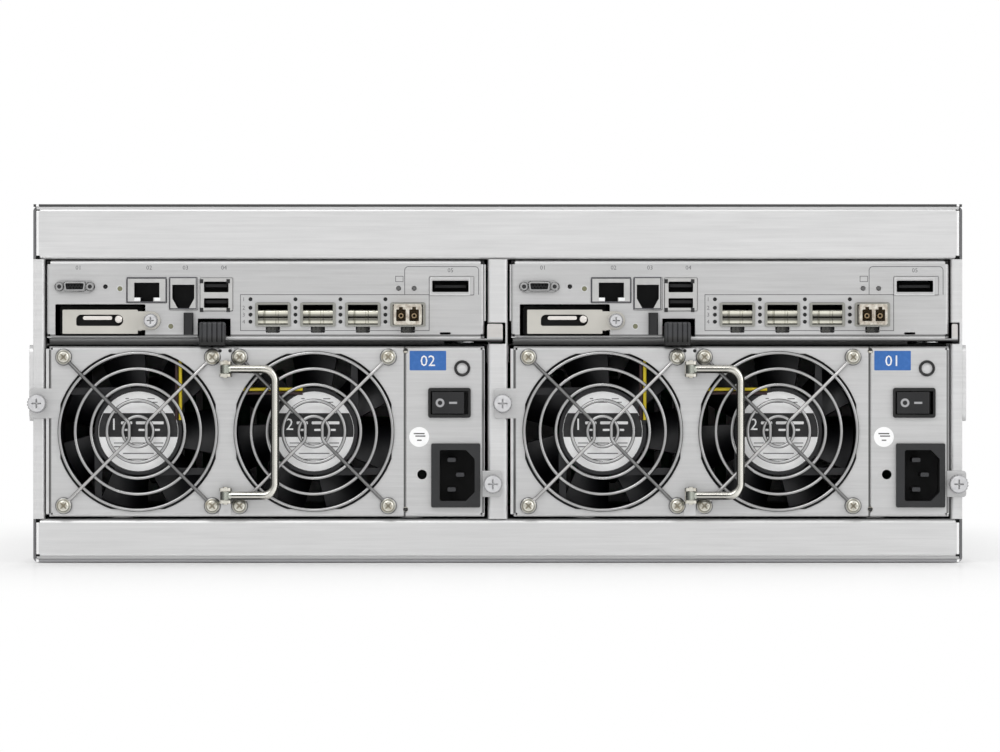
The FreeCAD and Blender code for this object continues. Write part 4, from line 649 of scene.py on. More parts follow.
# guard wires: satin chrome rings, painted shade on one of the two diagonals and a painted highlight on the
# other
def guardWire(halfWidth=0.0014, ringsTo=0.0120):
    shader = platedMetal("wireChrome", (0.46, 0.46, 0.46), 0.26, 0.0002, 0.9)
    at = places(shader)
    middle, spread, level = fanLayout()
    offset = minus(at.u, middle)
    dx = minus(offset, times(maths("SIGN", offset), spread))
    dz = minus(at.z, level)
    falling = under(magnitude(plus(dx, dz)), halfWidth, 0.0002)
    rising = under(magnitude(minus(dx, dz)), halfWidth, 0.0002)
    clear = over(plus(magnitude(dx), magnitude(dz)), ringsTo, 0.0008)
    cover(shader, times(allOf(falling, clear), 0.75), 0.13)
    cover(shader, times(allOf(rising, clear), 0.5), (0.62, 0.61, 0.60))


# leads: one yellow and one dark wire along each strut
def leadInsulation(split=0.0193):
    shader = mouldedPlastic("leadInsulation", (0.030, 0.010, 0.012), 0.35, 0.1)
    at = places(shader)
    middle, spread, level = fanLayout()
    first = allOf(under(at.u, middle), over(at.u, middle - spread + split))
    second = allOf(over(at.u, middle), over(at.z, level + split))
    cover(shader, anyOf(first, second), (0.72, 0.56, 0.02))


# handle: bright chrome with painted reflections: each arm a painted dark reflected line along its middle
# and painted shade on its underside; the upright and the hinges painted light and shade by facing
handleFinish = {
    "hingeEnd": -0.0165,
    "armStops": ((0.0, 0.03), (0.22, 0.05), (0.30, 0.55), (0.42, 0.60), (0.49, 0.06), (0.58, 0.06),
                 (0.66, 0.80), (0.90, 0.75), (1.0, 0.20)),
    "uprightStops": ((0.0, 0.03), (0.14, 0.05), (0.24, 0.45), (0.38, 0.40), (0.46, 0.80), (0.72, 0.85),
                     (0.80, 0.06), (0.90, 0.05), (1.0, 0.16)),
    "hingeStops": ((0.0, 0.05), (0.3, 0.16), (0.5, 0.55), (0.8, 0.30), (1.0, 0.06)),
    "tint": (1.0, 0.98, 0.90),
    "hingeTint": (0.95, 1.0, 0.88),
}


def handleMetal(values):
    shader = platedMetal("handleChrome", (0.7, 0.7, 0.66), 0.18, 0.0002, 0.0, 0.9)
    at = places(shader)
    arms = ramp(at.nz, -1.0, 1.0, values["armStops"], values["tint"])
    upright = ramp(at.nx, -1.0, 1.0, values["uprightStops"], values["tint"])
    bend = over(at.u, 0.0005, 0.0035)
    cover(shader, over(at.u, values["hingeEnd"], 0.0004), mixColour(bend, arms, upright))
    hinge = ramp(at.nx, -1.0, 1.0, values["hingeStops"], values["hingeTint"])
    cover(shader, under(at.u, values["hingeEnd"], 0.0004), hinge)


# inlet and switch housings: charcoal faces, insides painted black as shade, a glossy black lamp bezel
def fittingMoulded(inletTop=0.065):
    shader = mouldedPlastic("fittingPlastic", (0.013, 0.0135, 0.015), 0.45)
    at = places(shader)
    cover(shader, allOf(over(at.y, face - 0.0008), under(at.z, inletTop)), (0.0012, 0.0012, 0.0016), 0.7)
    cover(shader, over(at.z, inletTop), 0.003, 0.35)


# rocker: black, with a ring and a dash in pale ink
rockerMarks = {"ringPlace": 0.0840, "ring": (0.0011, 0.0021), "dash": (0.0884, 0.0922), "dashHalf": 0.0005}


def rockerMarked(values):
    shader = mouldedPlastic("rockerPlastic", (0.0045, 0.0045, 0.0055), 0.32, 0.1)
    at = places(shader)
    low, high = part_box("power_rocker_right")
    du = minus(at.u, values["ringPlace"])
    dz = minus(at.z, (low[2] + high[2]) / 2)
    ring = within(distance(du, dz), *values["ring"], 0.0001)
    dash = allOf(within(at.u, *values["dash"], 0.0002), under(magnitude(dz), values["dashHalf"], 0.0001))
    cover(shader, times(anyOf(ring, dash), 0.85), (0.42, 0.42, 0.43), 0.5)


# knurled captive screws: satin crown, shaded waist
def knobMetal():
    shader = platedMetal("knobNickel", (0.72, 0.72, 0.73), 0.34, 0.0004, 0.55, 0.6)
    cover(shader, mapRange(noise(shader, 500, 3.0), 0.4, 0.7, 0.0, 0.6), (0.52, 0.52, 0.54))


chassisMetal(chassisFinish)
canisterMetal(canisterFinish)
supplyMetal(supplyFinish)
leverMetal()
edgeMetal()
portMetal(portFinish)
opticMetal()
platedMetal("screwNickel", (0.70, 0.68, 0.60), 0.26)
hardwareMetal(hardwareFinish)
guardWire()
handleMetal(handleFinish)
knobMetal()
mouldedPlastic("blackPlastic", (0.012, 0.012, 0.014), 0.42)
fittingMoulded()
mouldedPlastic("fanPlastic", (0.006, 0.006, 0.008), 0.40)
tabPlastic()
mouldedPlastic("portPlastic", (0.005, 0.005, 0.006), 0.6)
rockerMarked(rockerMarks)
batteryPaint()
leadInsulation()
carrierMoulded(carrierFinish)
mouldedPlastic("latchPlastic", (0.16, 0.165, 0.17), 0.45)
sheetMetal("driveCasting", 0.45, 0.5, 0.4)
circuitBoard("boardGreen")

# which nodes wear which finish; the second table's nodes are there once for each side
dressed = {
    "chassisZinc": ("chassis_base", "top_cover", "rear_top_panel", "rear_bottom_panel", "centre_divider",
                    "bay_shelves", "drive_cage", "rack_ear_left", "rack_ear_right", "side_rails"),
    "boardGreen": ("midplane_board",),
    "blackPlastic": ("midplane_connectors",),
    "screwNickel": ("chassis_screws",),
    "carrierPlastic": ("drive_carriers", "drive_carrier_out"),
    "latchPlastic": ("drive_latches", "drive_latch_out"),
    "driveCasting": ("disk_drives", "disk_drive_out"),
}
dressedTwice = {
    "canisterZinc": ("canister",),
    "portPlate": ("port_shells",),
    "portPlastic": ("port_inserts",),
    "leverSteel": ("ejector_lever",),
    "greyPlastic": ("release_tab",),
    "batteryPlate": ("battery_module",),
    "knobNickel": ("battery_screw", "thumb_screw_upper", "thumb_screw_lower"),
    "opticPlate": ("transceiver",),
    "supplyZinc": ("supply_case",),
    "fanPlastic": ("fan_frames", "fan_rotor_a", "fan_rotor_b"),
    "wireChrome": ("fan_guards",),
    "handleChrome": ("bail_handle",),
    "fittingPlastic": ("ac_fittings",),
    "rockerPlastic": ("power_rocker",),
    "hardwareNickel": ("supply_hardware",),
    "leadInsulation": ("fan_leads",),
}


def dress(table, endings):
    for finish, nodes in table.items():
        for name in nodes:
            for ending in endings:
                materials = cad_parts[name + ending].data.materials
                materials.clear()
                materials.append(finishes[finish])


dress(dressed, ("",))
dress(dressedTwice, ("_left", "_right"))
print("nodes dressed")


# mesh helpers: a shape is its points and faces; outlines and lines are (x, z) points seen from the rear
def addPiece(name, body, finish, shapes, smooth=False):
    points, faces = joined(shapes)
    mesh = bpy.data.meshes.new(name)
    mesh.from_pydata(points.tolist(), [], faces)
    mesh.materials.append(finishes[finish])
    mesh.update()
    if smooth:
        mesh.polygons.foreach_set("use_smooth", [True] * len(mesh.polygons))
    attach(addObject(name, mesh), body)


# several shapes as one
def joined(shapes):
    points, faces, start = [], [], 0
    for shapePoints, shapeFaces in shapes:
        points.append(shapePoints)
        faces += [[index + start for index in loop] for loop in shapeFaces]
        start += len(shapePoints)
    return np.concatenate(points), faces


# the depths of a strip from those behind a plane
def depthsAt(plane, offsets):
    return [plane + y for y in offsets]


# quads between rows of points; the last row joins the first when rounded, the last column when closed
def gridFaces(rows, columns, closed=False, rounded=False):
    i, j = np.meshgrid(np.arange(rows if rounded else rows - 1),
                       np.arange(columns if closed else columns - 1), indexing="ij")
    below = (i + 1) % rows
    following = (j + 1) % columns
    quads = np.stack([i * columns + j, i * columns + following,
                      below * columns + following, below * columns + j], axis=-1)
    return quads.reshape(-1, 4).tolist()


# an outline's points at one depth
def atDepth(outline, y):
    return np.stack([outline[:, 0], np.full(len(outline), y), outline[:, 1]], axis=1)


# unit normals of runs: each run turned by a quarter and divided by its length
def normalsOf(runs):
    return np.stack([-runs[:, 1], runs[:, 0]], axis=1) / np.linalg.norm(runs, axis=1)[:, None]


# flat plate: the outline at two depths, closed by a cap at each
def plate(outline, back, front):
    count = len(outline)
    faces = gridFaces(2, count, True)
    faces.append(list(range(count, 2 * count)))
    faces.append(list(range(count - 1, -1, -1)))
    return np.concatenate([atDepth(outline, back), atDepth(outline, front)]), faces


# stroke of even width: each point of the line moves along the bisector of its two runs' normals,
# by half the width over the cosine of half the turn
def stroke(line, width, back, front, closed=True):
    count = len(line)
    ahead = np.roll(line, -1, axis=0) - line
    behind = np.roll(ahead, 1, axis=0)
    if not closed:
        ahead[-1] = ahead[-2]
        behind[0] = ahead[0]
    normals = normalsOf(behind)
    bisector = normals + normalsOf(ahead)
    bisector /= np.linalg.norm(bisector, axis=1)[:, None]
    reach = width / 2 / np.sum(bisector * normals, axis=1)
    shift = bisector * reach[:, None]
    rows = [atDepth(line - shift, back), atDepth(line - shift, front),
            atDepth(line + shift, front), atDepth(line + shift, back)]
    faces = gridFaces(4, count, closed, True)
    if not closed:
        faces.append([0, count, 2 * count, 3 * count])
        faces.append([4 * count - 1, 3 * count - 1, 2 * count - 1, count - 1])
    return np.concatenate(rows), faces


# rectangle by its ends from an origin
def rectangle(origin, ends):
    x, z = origin
    x0, x1, z0, z1 = ends
    return np.array([(x + x0, z + z0), (x + x1, z + z0), (x + x1, z + z1), (x + x0, z + z1)], float)


# rounded rectangle: four quarter circles joined by straight sides
def roundedRectangle(origin, ends, radius, steps=6):
    x, z = origin
    x0, x1, z0, z1 = x + ends[0], x + ends[1], z + ends[2], z + ends[3]
    turn = np.linspace(0, math.pi / 2, steps)
    corners = ((x1 - radius, z1 - radius), (x0 + radius, z1 - radius),
               (x0 + radius, z0 + radius), (x1 - radius, z0 + radius))
    arcs = [np.stack([x + radius * np.cos(turn + quarter * math.pi / 2),
                      z + radius * np.sin(turn + quarter * math.pi / 2)], axis=1)
            for quarter, (x, z) in enumerate(corners)]
    return np.concatenate(arcs)


# points at the given angles round a centre
def arc(x, z, radius, angle):
    return np.stack([x + radius * np.cos(angle), z + radius * np.sin(angle)], axis=1)


# circle: points at equal angles
def circle(x, z, radius, steps=32):
    return arc(x, z, radius, np.linspace(0, 2 * math.pi, steps, endpoint=False))


# the part of a circle between two heights
def discBand(x, z, radius, low, high, steps=16):
    right = np.linspace(math.asin(low / radius), math.asin(high / radius), steps)
    return arc(x, z, radius, np.concatenate([right, math.pi - right[::-1]]))


# plain numerals: the letters' curves made a mesh, then stood up facing the rear
def numeral(text, x, z, height, front, depth=0.00004):
    curve = bpy.data.curves.new("numeral", "FONT")
    curve.body = text
    curve.size = height / 0.7
    curve.align_x = "CENTER"
    curve.extrude = depth / 2
    curve.resolution_u = 2
    made = addObject("numeral", curve)
    mesh = bpy.data.meshes.new_from_object(made)
    flat = np.empty(len(mesh.vertices) * 3)
    mesh.vertices.foreach_get("co", flat)
    flat = flat.reshape(-1, 3)
    points = np.stack([x + flat[:, 0], front + depth / 2 - flat[:, 2], z - height / 2 + flat[:, 1]], axis=1)
    faces = [list(polygon.vertices) for polygon in mesh.polygons]
    bpy.data.objects.remove(made)
    bpy.data.curves.remove(curve)
    bpy.data.meshes.remove(mesh)
    return points, faces


ink("rimShadeInk", (0.07, 0.07, 0.08))
ink("greyInk", (0.13, 0.13, 0.135))
ink("labelBlue", (0.024, 0.125, 0.40), 0.4)
ink("labelWhite", (0.93, 0.93, 0.93), 0.45)
ink("markWhite", (0.80, 0.80, 0.80), 0.4)
ink("lensWhite", (0.85, 0.86, 0.86), 0.25)
ink("lensOlive", (0.17, 0.17, 0.10), 0.3)
ink("lensGrey", (0.60, 0.60, 0.60), 0.3)
ink("lensDim", (0.10, 0.10, 0.10), 0.4)
ink("frameBlack", (0.008, 0.008, 0.009), 0.5)
platedMetal("stripNickel", (0.78, 0.78, 0.78), 0.3, 0.0001)

# the controllers' printing, and dark frames round the jacks as painted shade; u runs from the bay's middle,
# v from the underside of the controller
controllerPrint = {
    "line": 0.00034,
    "proud": 0.00003,
    "portBox": (-0.01205, 0.07875, 0.00345, 0.02075),   # frame round the optical cages
    "sasBox": (0.06695, 0.10255, 0.02075, 0.03425),     # rounded box above it, open below
    "sasRadius": 0.0018,
    "rows": (("1", -0.0105, 0.01855), ("2", -0.0105, 0.01445), ("3", -0.0105, 0.01115),
             ("4", -0.0105, 0.00775)),
    "rowHeight": 0.0019,
    "portNumbers": (("01", -0.0900, 0.0338), ("02", -0.0560, 0.0338), ("03", -0.0385, 0.0338),
                    ("04", -0.0200, 0.0338), ("05", 0.0890, 0.0325)),
    "portHeight": 0.0020,
    "frames": ((-0.0665, -0.0479, 0.0172, 0.0289), (-0.0460, -0.0333, 0.0140, 0.0289)),
    "frameLine": 0.0005,
    "frameProud": 0.00066,
    "cardSign": (0.0626, 0.0662, 0.0270, 0.0296),
    "signLine": 0.0003,
}


def printController(side, values):
    body = "controller_" + side
    origin = middle, base = bayMiddle(side), moduleFloor
    back = rear + hair
    front = rear - values["proud"]
    u0, u1, v0 = values["sasBox"][:3]
    ring = roundedRectangle(origin, values["sasBox"], values["sasRadius"])
    upper = ring[:len(ring) // 4 * 2]
    arch = np.concatenate([[(middle + u1, base + v0)], upper, [(middle + u0, base + v0)]])
    shapes = [stroke(rectangle(origin, values["portBox"]), values["line"], back, front),
              stroke(arch, values["line"], back, front, False)]
    for texts, height in ((values["rows"], values["rowHeight"]),
                          (values["portNumbers"], values["portHeight"])):
        shapes += [numeral(text, middle + u, base + v, height, front) for text, u, v in texts]
    shapes.append(stroke(rectangle(origin, values["cardSign"]), values["signLine"], back, front))
    addPiece("printing_" + side, body, "greyInk", shapes)
    # dark strokes round the network jacks' frames, painted shade of the gaps round them
    rimShades = [stroke(rectangle(origin, ends), values["frameLine"], back, rear - values["frameProud"])
            for ends in values["frames"]]
    addPiece("socket_rim_shades_" + side, body, "rimShadeInk", rimShades)


for side in sides:
    printController(side, controllerPrint)
print("controllers printed")

# lamps of the controllers: clear light guides in the network jack, lenses in the panel
controllerLamps = {
    "guides": ((-0.0631, -0.0602, 0.0178, 0.0193), (-0.0535, -0.0506, 0.0178, 0.0193)),
    "guideProud": 0.00075,
    "lenses": ((-0.07005, 0.0236), (-0.04555, 0.0055)),
    "lensRadius": 0.0012,
    "lensRing": 0.00045,
    "lensProud": 0.00046,
    "ringProud": 0.00042,
    "greyLamps": ((0.06405, 0.0238), (0.07155, 0.0238)),
    "greyRadius": 0.00095,
    "greyProud": 0.00044,
}


def lightController(side, values):
    body = "controller_" + side
    origin = middle, base = bayMiddle(side), moduleFloor
    back = rear + hair
    guides = [plate(rectangle(origin, ends), rear + 0.0010, rear - values["guideProud"])
              for ends in values["guides"]]
    addPiece("light_guides_" + side, body, "lensWhite", guides)
    radius, width = values["lensRadius"], values["lensRing"]
    centres = [(middle + u, base + v) for u, v in values["lenses"]]
    rings = [stroke(circle(x, z, radius + width / 2), width, back, rear - values["ringProud"])
             for x, z in centres]
    addPiece("lens_rings_" + side, body, "lensGrey", rings)
    discs = [plate(circle(x, z, radius), back, rear - values["lensProud"]) for x, z in centres]
    addPiece("lenses_" + side, body, "lensOlive", discs)
    greys = [plate(circle(middle + u, base + v, values["greyRadius"]), back, rear - values["greyProud"])
             for u, v in values["greyLamps"]]
    addPiece("grey_lamps_" + side, body, "lensDim", greys)


for side in sides:
    lightController(side, controllerLamps)
print("controller lamps set")

# black corners of the double USB socket, a plated rim round the wide socket kept bright as a painted
# highlight, the optical cages' collar springs drawn dark as painted shade, and the serial connector's
# shaded ring, nuts and holes
socketTrim = {
    "usbCorners": ((-0.0316, -0.0299), (-0.0188, -0.0171)),
    "usbLevels": ((0.0124, 0.0144), (0.0262, 0.0282)),
    "wideSocket": (0.0793, 0.0981, 0.0208, 0.0287),
    "wideRim": 0.0006,
    "rimDepths": (0.0002, -0.00068),
    "cage": (-0.0044, 0.0117, 0.0059, 0.0168),    # first cage's spring; the rest at the cage pitch
    "cageRadius": 0.0008,
    "cageCount": 4,
    "collarWidth": 0.0005,
    "serialRing": (-0.0971, -0.0864, 0.0223, 0.0271),
    "serialRadius": 0.0012,
    "serialLine": 0.0005,
    "serialDepths": (-0.0002, -0.0012),
    "posts": ((-0.0991, 0.0246), (-0.0844, 0.0246)),
    "postRadius": 0.0010,
    "postDepths": (-0.0025, -0.00266),
    "nutRadius": 0.0021,
}


def trimSockets(side, values):
    body = "controller_" + side
    origin = middle, base = bayMiddle(side), moduleFloor
    depths = depthsAt(rear, values["rimDepths"])
    corners = [plate(rectangle(origin, across + levels), *depths)
               for across in values["usbCorners"] for levels in values["usbLevels"]]
    addPiece("socket_corners_" + side, body, "frameBlack", corners)
    # plated rim round the wide socket, kept bright as a painted highlight over the shaded gap round it
    rim = stroke(rectangle(origin, values["wideSocket"]), values["wideRim"], *depths)
    addPiece("wide_socket_rim_" + side, body, "stripNickel", [rim])
    # the cages' collar springs, drawn dark as painted shade round each collar
    springShadeLines = [roundedRectangle((middle + number * cagePitch, base), values["cage"], values["cageRadius"])
               for number in range(values["cageCount"])]
    collars = [stroke(line, values["collarWidth"], rear + hair, rear - 0.0003) for line in springShadeLines]
    addPiece("collar_spring_shades_" + side, body, "lensDim", collars)
    depths = depthsAt(rear, values["serialDepths"])
    line = values["serialLine"]
    posts = [(middle + u, base + v) for u, v in values["posts"]]
    shadow = [stroke(roundedRectangle(origin, values["serialRing"], values["serialRadius"]), line, *depths)]
    shadow += [stroke(circle(x, z, values["nutRadius"], 24), line, *depths) for x, z in posts]
    depths = depthsAt(rear, values["postDepths"])
    shadow += [plate(circle(x, z, values["postRadius"], 20), *depths) for x, z in posts]
    addPiece("serial_shadow_" + side, body, "frameBlack", shadow)


for side in sides:
    trimSockets(side, socketTrim)
print("sockets trimmed")

# folded edges: strips that stand in the gaps beside the modules, the nose strip painted as a shade band and
# the lip under each controller, seam beads along the blank bars, gaskets between the rows of drive carriers
# black as painted shade
edgeStrips = {
    "nose": (-0.1045, 0.0860, 0.1045, 0.1077),     # stops short of the lever's pivot
    "noseDepths": (0.0092, 0.0087),
    "lip": (-0.0270, 0.1035, 0.10756, 0.10835),
    "lipDepths": (0.0009, 0.0002),
    "clearOfLever": 0.0066,
    "belowTop": 0.0018,
    "beads": ((-0.2220, 0.2220, 0.00125, 0.0027), (-0.2220, 0.2220, 0.1696, 0.17095)),
    "beadDepths": (0.0009, 0.0002),
    "supplyStrips": ((-0.1056, -0.1042), (0.1044, 0.1054)),
    "supplyDepths": (0.010, 0.0012),
    "innerStart": 0.10515,
    "innerWidth": 0.0008,
    "innerDepths": (0.012, 0.0004),
    "gasketHalf": 0.00021,
    "gasketDepths": (0.009, 0.013),
    "driveRows": 6,
}


def stripEdges(side, values):
    body = "controller_" + side
    middle = bayMiddle(side)
    foot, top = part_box("fan_frames_" + side)[0][2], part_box("supply_case_" + side)[1][2] - 0.0012
    strips = [plate(rectangle((middle, 0), ends + (foot, top)), *depthsAt(face, values["supplyDepths"]))
              for ends in values["supplyStrips"]]
    addPiece("side_strips_" + side, "supply_" + side, "stripNickel", strips)
    inward = 1 if side == "left" else -1
    start = middle + inward * values["innerStart"]
    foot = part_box("battery_module_" + side)[0][2] + values["clearOfLever"]
    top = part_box("canister_" + side)[1][2] - values["belowTop"]
    ends = (*sorted((start, start + inward * values["innerWidth"])), foot, top)
    for name, finish, origin, outline, depths in (
            ("inner_edge_", "canisterZinc", (0, 0), ends, "innerDepths"),
            ("controller_nose_", "edgeZinc", (middle, 0), values["nose"], "noseDepths"),
            ("controller_lip_", "stripNickel", (middle, 0), values["lip"], "lipDepths")):
        strip = plate(rectangle(origin, outline), *depthsAt(rear, values[depths]))
        addPiece(name + side, body, finish, [strip])


# black strips behind the gaps between the rows of drive carriers: gaskets, black as painted shade in the
# gaps
def fitGaskets(values):
    low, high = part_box("drive_carriers")
    pitch = (high[2] - low[2] + 0.0004) / values["driveRows"]
    half = values["gasketHalf"]
    levels = [low[2] + row * pitch - 0.0002 for row in range(1, values["driveRows"])]
    strips = [plate(rectangle((0, z), (-high[0], high[0], -half, half)),
                    *[high[1] - y for y in values["gasketDepths"]]) for z in levels]
    addPiece("carrier_gasket_shades", "chassis", "frameBlack", strips)


# beads that close the seams between the blank bars and the sheets above and below them
def closeSeams(values):
    beads = [plate(rectangle((0, 0), ends), *depthsAt(rear, values["beadDepths"]))
             for ends in values["beads"]]
    addPiece("seam_beads", "chassis", "edgeZinc", beads)


for side in sides:
    stripEdges(side, edgeStrips)
fitGaskets(edgeStrips)
closeSeams(edgeStrips)
print("edge strips and gaskets fitted")

# supply: blue numbered label, round inspection sticker, hub labels, lamp
supplyLabels = {
    "blue": (0.06935, 0.08695, 0.0922, 0.1016),
    "blueRadius": 0.0004,
    "blueNumerals": {"left": "02", "right": "01"},
    "blueHeight": 0.0052,
    "sticker": (0.07395, 0.0602),
    "stickerRadius": 0.0048,
    "stickerRules": ((-0.0026, 0.0026, 0.0016), (-0.0018, 0.0030, 0.0004), (-0.0010, 0.0012, -0.0016)),
    "stickerLine": 0.0003,     # half the width of a rule
    "hubRadius": 0.0192,
    "hubDepth": 0.0012,        # hub face behind the fan frame's
    "hubBand": (-0.0027, 0.0088),
    "hubNumber": (-0.0118, 0.0035),
    "hubNumberHeight": 0.0056,
    "hubBars": ((-0.0084, -0.0030, 0.0034, 0.0048), (-0.0012, 0.0042, 0.0034, 0.0048),
                (0.0062, 0.0122, 0.0034, 0.0048), (-0.0078, -0.0046, 0.0002, 0.0012),
                (0.0000, 0.0036, 0.0002, 0.0012), (0.0070, 0.0104, 0.0002, 0.0012)),
    "hubRules": ((-0.0118, -0.0070, -0.0056), (-0.0030, 0.0030, -0.0056), (0.0072, 0.0120, -0.0056),
                 (-0.0118, -0.0076, -0.0074), (0.0076, 0.0116, -0.0074), (-0.0074, 0.0074, -0.0106),
                 (-0.0062, 0.0058, -0.0134), (-0.0070, -0.0042, 0.0140), (-0.0028, 0.0022, 0.0140),
                 (0.0036, 0.0092, 0.0140), (-0.0062, -0.0046, 0.0158), (0.0044, 0.0078, 0.0157)),
    "hubLine": 0.00022,
    "proud": 0.00006,
    "inkProud": 0.00003,
    "lamp": (0.09465, 0.0932),
    "lampRadius": 0.0026,
    "lampProud": 0.0002,
}


# short rules by their ends and level, each twice the half width
def ruled(x, z, rules, half, back, front):
    return [plate(rectangle((x, z), (u0, u1, v - half, v + half)), back, front) for u0, u1, v in rules]


def labelSupply(side, values):
    body = "supply_" + side
    middle = bayMiddle(side)
    back = face + hair
    front = face - values["proud"]
    inkFront = front - values["inkProud"]
    u0, u1, z0, z1 = values["blue"]
    blue = plate(roundedRectangle((middle, 0), values["blue"], values["blueRadius"]), back, front)
    addPiece("blue_label_" + side, body, "labelBlue", [blue])
    digits = numeral(values["blueNumerals"][side], middle + (u0 + u1) / 2, (z0 + z1) / 2,
                     values["blueHeight"], inkFront)
    addPiece("bay_number_" + side, body, "markWhite", [digits])
    u, z = values["sticker"]
    x = middle + u
    addPiece("round_sticker_" + side, body, "labelWhite",
             [plate(circle(x, z, values["stickerRadius"], 40), back, front)])
    rules = ruled(x, z, values["stickerRules"], values["stickerLine"], front, inkFront)
    addPiece("sticker_rules_" + side, body, "lensDim", rules)
    u, z = values["lamp"]
    lamp = plate(circle(middle + u, z, values["lampRadius"]), face + 0.0010, face - values["lampProud"])
    addPiece("supply_lamp_" + side, body, "lensGrey", [lamp])


def labelHubs(side, values):
    body = "supply_" + side
    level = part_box("fan_frames_" + side)[0][1] + values["hubDepth"]
    radius = values["hubRadius"]
    front = level - 0.00007
    for number, letter in enumerate(("a", "b"), start=1):
        x, z = fanCentre(side, letter)
        ending = letter + "_" + side
        disc = plate(circle(x, z, radius, 48), level + 0.00005, level - 0.00003)
        addPiece("hub_label_" + ending, body, "labelWhite", [disc])
        band = plate(discBand(x, z, radius - 0.0002, *values["hubBand"]), level, level - values["proud"])
        addPiece("hub_band_" + ending, body, "frameBlack", [band])
        u, v = values["hubNumber"]
        marks = [numeral(str(number), x + u, z + v, values["hubNumberHeight"], front)]
        marks += [plate(roundedRectangle((x, z), ends, 0.0004), level, front) for ends in values["hubBars"]]
        addPiece("hub_number_" + ending, body, "labelWhite", marks)
        rules = ruled(x, z, values["hubRules"], values["hubLine"], level, front)
        addPiece("hub_rules_" + ending, body, "lensDim", rules)


for side in sides:
    labelSupply(side, supplyLabels)
    labelHubs(side, supplyLabels)
print("supplies labelled")


# round wire along a path at one depth: circles across the path's direction at each point
def roundWire(path, depth, radius, steps=12):
    across = normalsOf(np.gradient(path, axis=0))
    angle = np.linspace(0, 2 * math.pi, steps, endpoint=False)
    x = path[:, 0:1] + radius * np.cos(angle) * across[:, 0:1]
    z = path[:, 1:2] + radius * np.cos(angle) * across[:, 1:2]
    y = np.broadcast_to(depth + radius * np.sin(angle), x.shape)
    return np.stack([x, y, z], axis=-1).reshape(-1, 3), gridFaces(len(path), steps, True)


# each pair of guard spokes is one bent wire: it crosses the inner ring and runs upright beside the axis
guardWires = {
    "radius": 0.00085,
    "depth": 0.0023,           # middle of the spokes in front of the supply's face
    "ring": 0.0073,
    "upright": 0.0041,
    "steps": 9,
}


# from the ring's crossing the distance from the axis shrinks with the square of the way that is left,
# while the height falls evenly; the lower half mirrors the upper
def bridgeSpokes(side, values):
    start = values["ring"] * math.sqrt(0.5)
    bendAt = values["upright"]
    t = np.linspace(0, 1, values["steps"])
    upperX = bendAt + (start - bendAt) * (1 - t) ** 2
    upperZ = start - (start - bendAt * 0.6) * t
    pathX = np.concatenate([upperX, upperX[::-1]])
    pathZ = np.concatenate([upperZ, -upperZ[::-1]])
    shapes = []
    for letter in ("a", "b"):
        x, z = fanCentre(side, letter)
        for hand in (-1, 1):
            path = np.stack([x + hand * pathX, z + pathZ], axis=1)
            shapes.append(roundWire(path[::-hand], face - values["depth"], values["radius"]))
    addPiece("guard_bridges_" + side, "supply_" + side, "wireChrome", shapes, True)


for side in sides:
    bridgeSpokes(side, guardWires)
print("guard wires bridged")

# plates behind the handle's hinges, with two notches at the top one painted black as shade
hingePlates = {
    "across": (-0.0222, -0.0166),
    "levels": ((0.0950, 0.1028), (0.0224, 0.0300)),
    "radius": 0.0004,
    "proud": 0.00035,
    "notchRadius": 0.00085,
    "notchLevel": 0.1016,
    "notchProud": 0.00004,
}


def backHinges(side, values):
    middle = bayMiddle(side)
    front = face - values["proud"]
    outlines = [roundedRectangle((middle, 0), values["across"] + levels, values["radius"])
                for levels in values["levels"]]
    plates = [plate(outline, face + hair, front) for outline in outlines]
    addPiece("hinge_plates_" + side, "supply_" + side, "stripNickel", plates)
    # the notches: black discs, painted shade
    u0, u1 = values["across"]
    notchShades = [plate(circle(middle + u, values["notchLevel"], values["notchRadius"], 16),
                     front, front - values["notchProud"]) for u in (u0 + 0.0004, u1 - 0.0004)]
    addPiece("hinge_notch_shades_" + side, "supply_" + side, "frameBlack", notchShades)


for side in sides:
    backHinges(side, hingePlates)
print("hinge plates set")

studio = {
    "floorColour": (0.93, 0.93, 0.93),
    "floorReach": 30.0,
    "floorLevel": -0.0004,
    "floorGloss": 0.24,
    "floorGlow": 0.42,         # share of plain white that the camera sees in the floor
    "shadowGlow": 0.03,        # the same where the object stands on it
    "footprint": (0.19, 0.25),
    "worldStrength": 0.72,
    "lamps": (("keyLamp", (-0.9, -2.2, 2.2), (0, 0, 0.08), (2.0, 1.2), 26.0),
              ("fillLamp", (1.8, -1.6, 1.0), (0, 0, 0.08), (1.6, 1.6), 12.0),
              ("backLamp", (0.6, 2.4, 2.0), (0, 0, 0.1), (2.0, 1.4), 12.0)),
}


# how far a coordinate lies past a limit on either side
def beyond(value, limit):
    return maths("MAXIMUM", minus(magnitude(value), limit), 0.0)


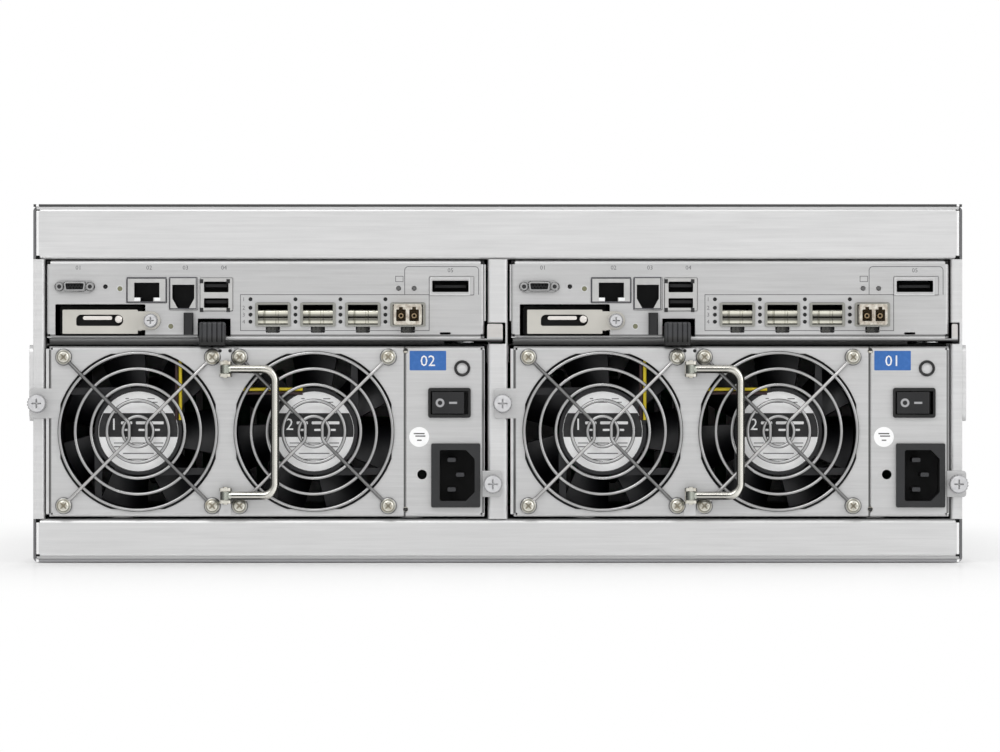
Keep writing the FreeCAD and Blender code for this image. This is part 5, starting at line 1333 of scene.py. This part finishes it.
# floor: pale, slightly glossy, and plain white to the camera away from the object
def floorPale(values):
    shader = newFinish("floorPale")
    paint(shader, values["floorColour"], 0.9)
    shader.inputs["Specular IOR Level"].default_value = 0.1
    gloss = addNode(shader, "BsdfGlossy", 1.0, 0.16)
    glow = addNode(shader, "Emission", 1.0, 1.0)
    at = places(shader)
    # distance from the object's footprint, counted threefold sideways
    halfWidth, halfDepth = values["footprint"]
    away = over(distance(times(beyond(at.x, halfWidth), 3.0), beyond(at.y, halfDepth)), 0.26, 0.24)
    # painted contact shade: the floor gets less plain white under the object and just in front of it
    contact = allOf(over(at.y, rear - 0.075, 0.07), under(magnitude(at.x), 0.228, 0.006))
    glowHere = mapRange(contact, 0.0, 1.0, values["floorGlow"], values["shadowGlow"])
    share = plus(glowHere, times(away, minus(1.0, glowHere)))
    seen = times(addNode(shader, "LightPath").outputs["Is Camera Ray"], share)
    half = addNode(shader, "MixShader", values["floorGloss"])
    whole = addNode(shader, "MixShader", seen)
    output = shader.outputs[0].links[0].to_socket
    join(shader.outputs[0], half.inputs[1])
    join(gloss.outputs[0], half.inputs[2])
    join(half.outputs[0], whole.inputs[1])
    join(glow.outputs[0], whole.inputs[2])
    join(whole.outputs[0], output)


def makeWorld(values):
    world = bpy.data.worlds.new("studioWorld")
    bpy.context.scene.world = world
    world.use_nodes = True
    nodes = world.node_tree.nodes
    nodes.clear()
    output = nodes.new("ShaderNodeOutputWorld")
    mix = addNode(output, "MixShader", addNode(output, "LightPath").outputs["Is Camera Ray"])
    join(addNode(output, "Background", 1.0, values["worldStrength"]).outputs[0], mix.inputs[1])
    join(addNode(output, "Background", 1.0, 1.0).outputs[0], mix.inputs[2])
    join(mix.outputs[0], output.inputs[0])


def makeFloor(values):
    mesh = bpy.data.meshes.new("floor")
    reach = values["floorReach"]
    mesh.from_pydata([(-reach, -reach, 0), (reach, -reach, 0), (reach, reach, 0), (-reach, reach, 0)],
                     [], [(0, 1, 2, 3)])
    floor = addObject("floor", mesh)
    floor.location.z = values["floorLevel"]
    floorPale(values)
    mesh.materials.append(finishes["floorPale"])


def addLamp(name, place, target, extent, power):
    data = bpy.data.lights.new(name, "AREA")
    data.shape = "RECTANGLE"
    data.size, data.size_y = extent
    data.energy = power
    lamp = addObject(name, data)
    lamp.location = place
    lamp.rotation_euler = (Vector(target) - Vector(place)).to_track_quat("-Z", "Y").to_euler()


makeWorld(studio)
makeFloor(studio)
for lampValues in studio["lamps"]:
    addLamp(*lampValues)
bpy.context.scene.view_settings.view_transform = "Standard"
print("studio lit")
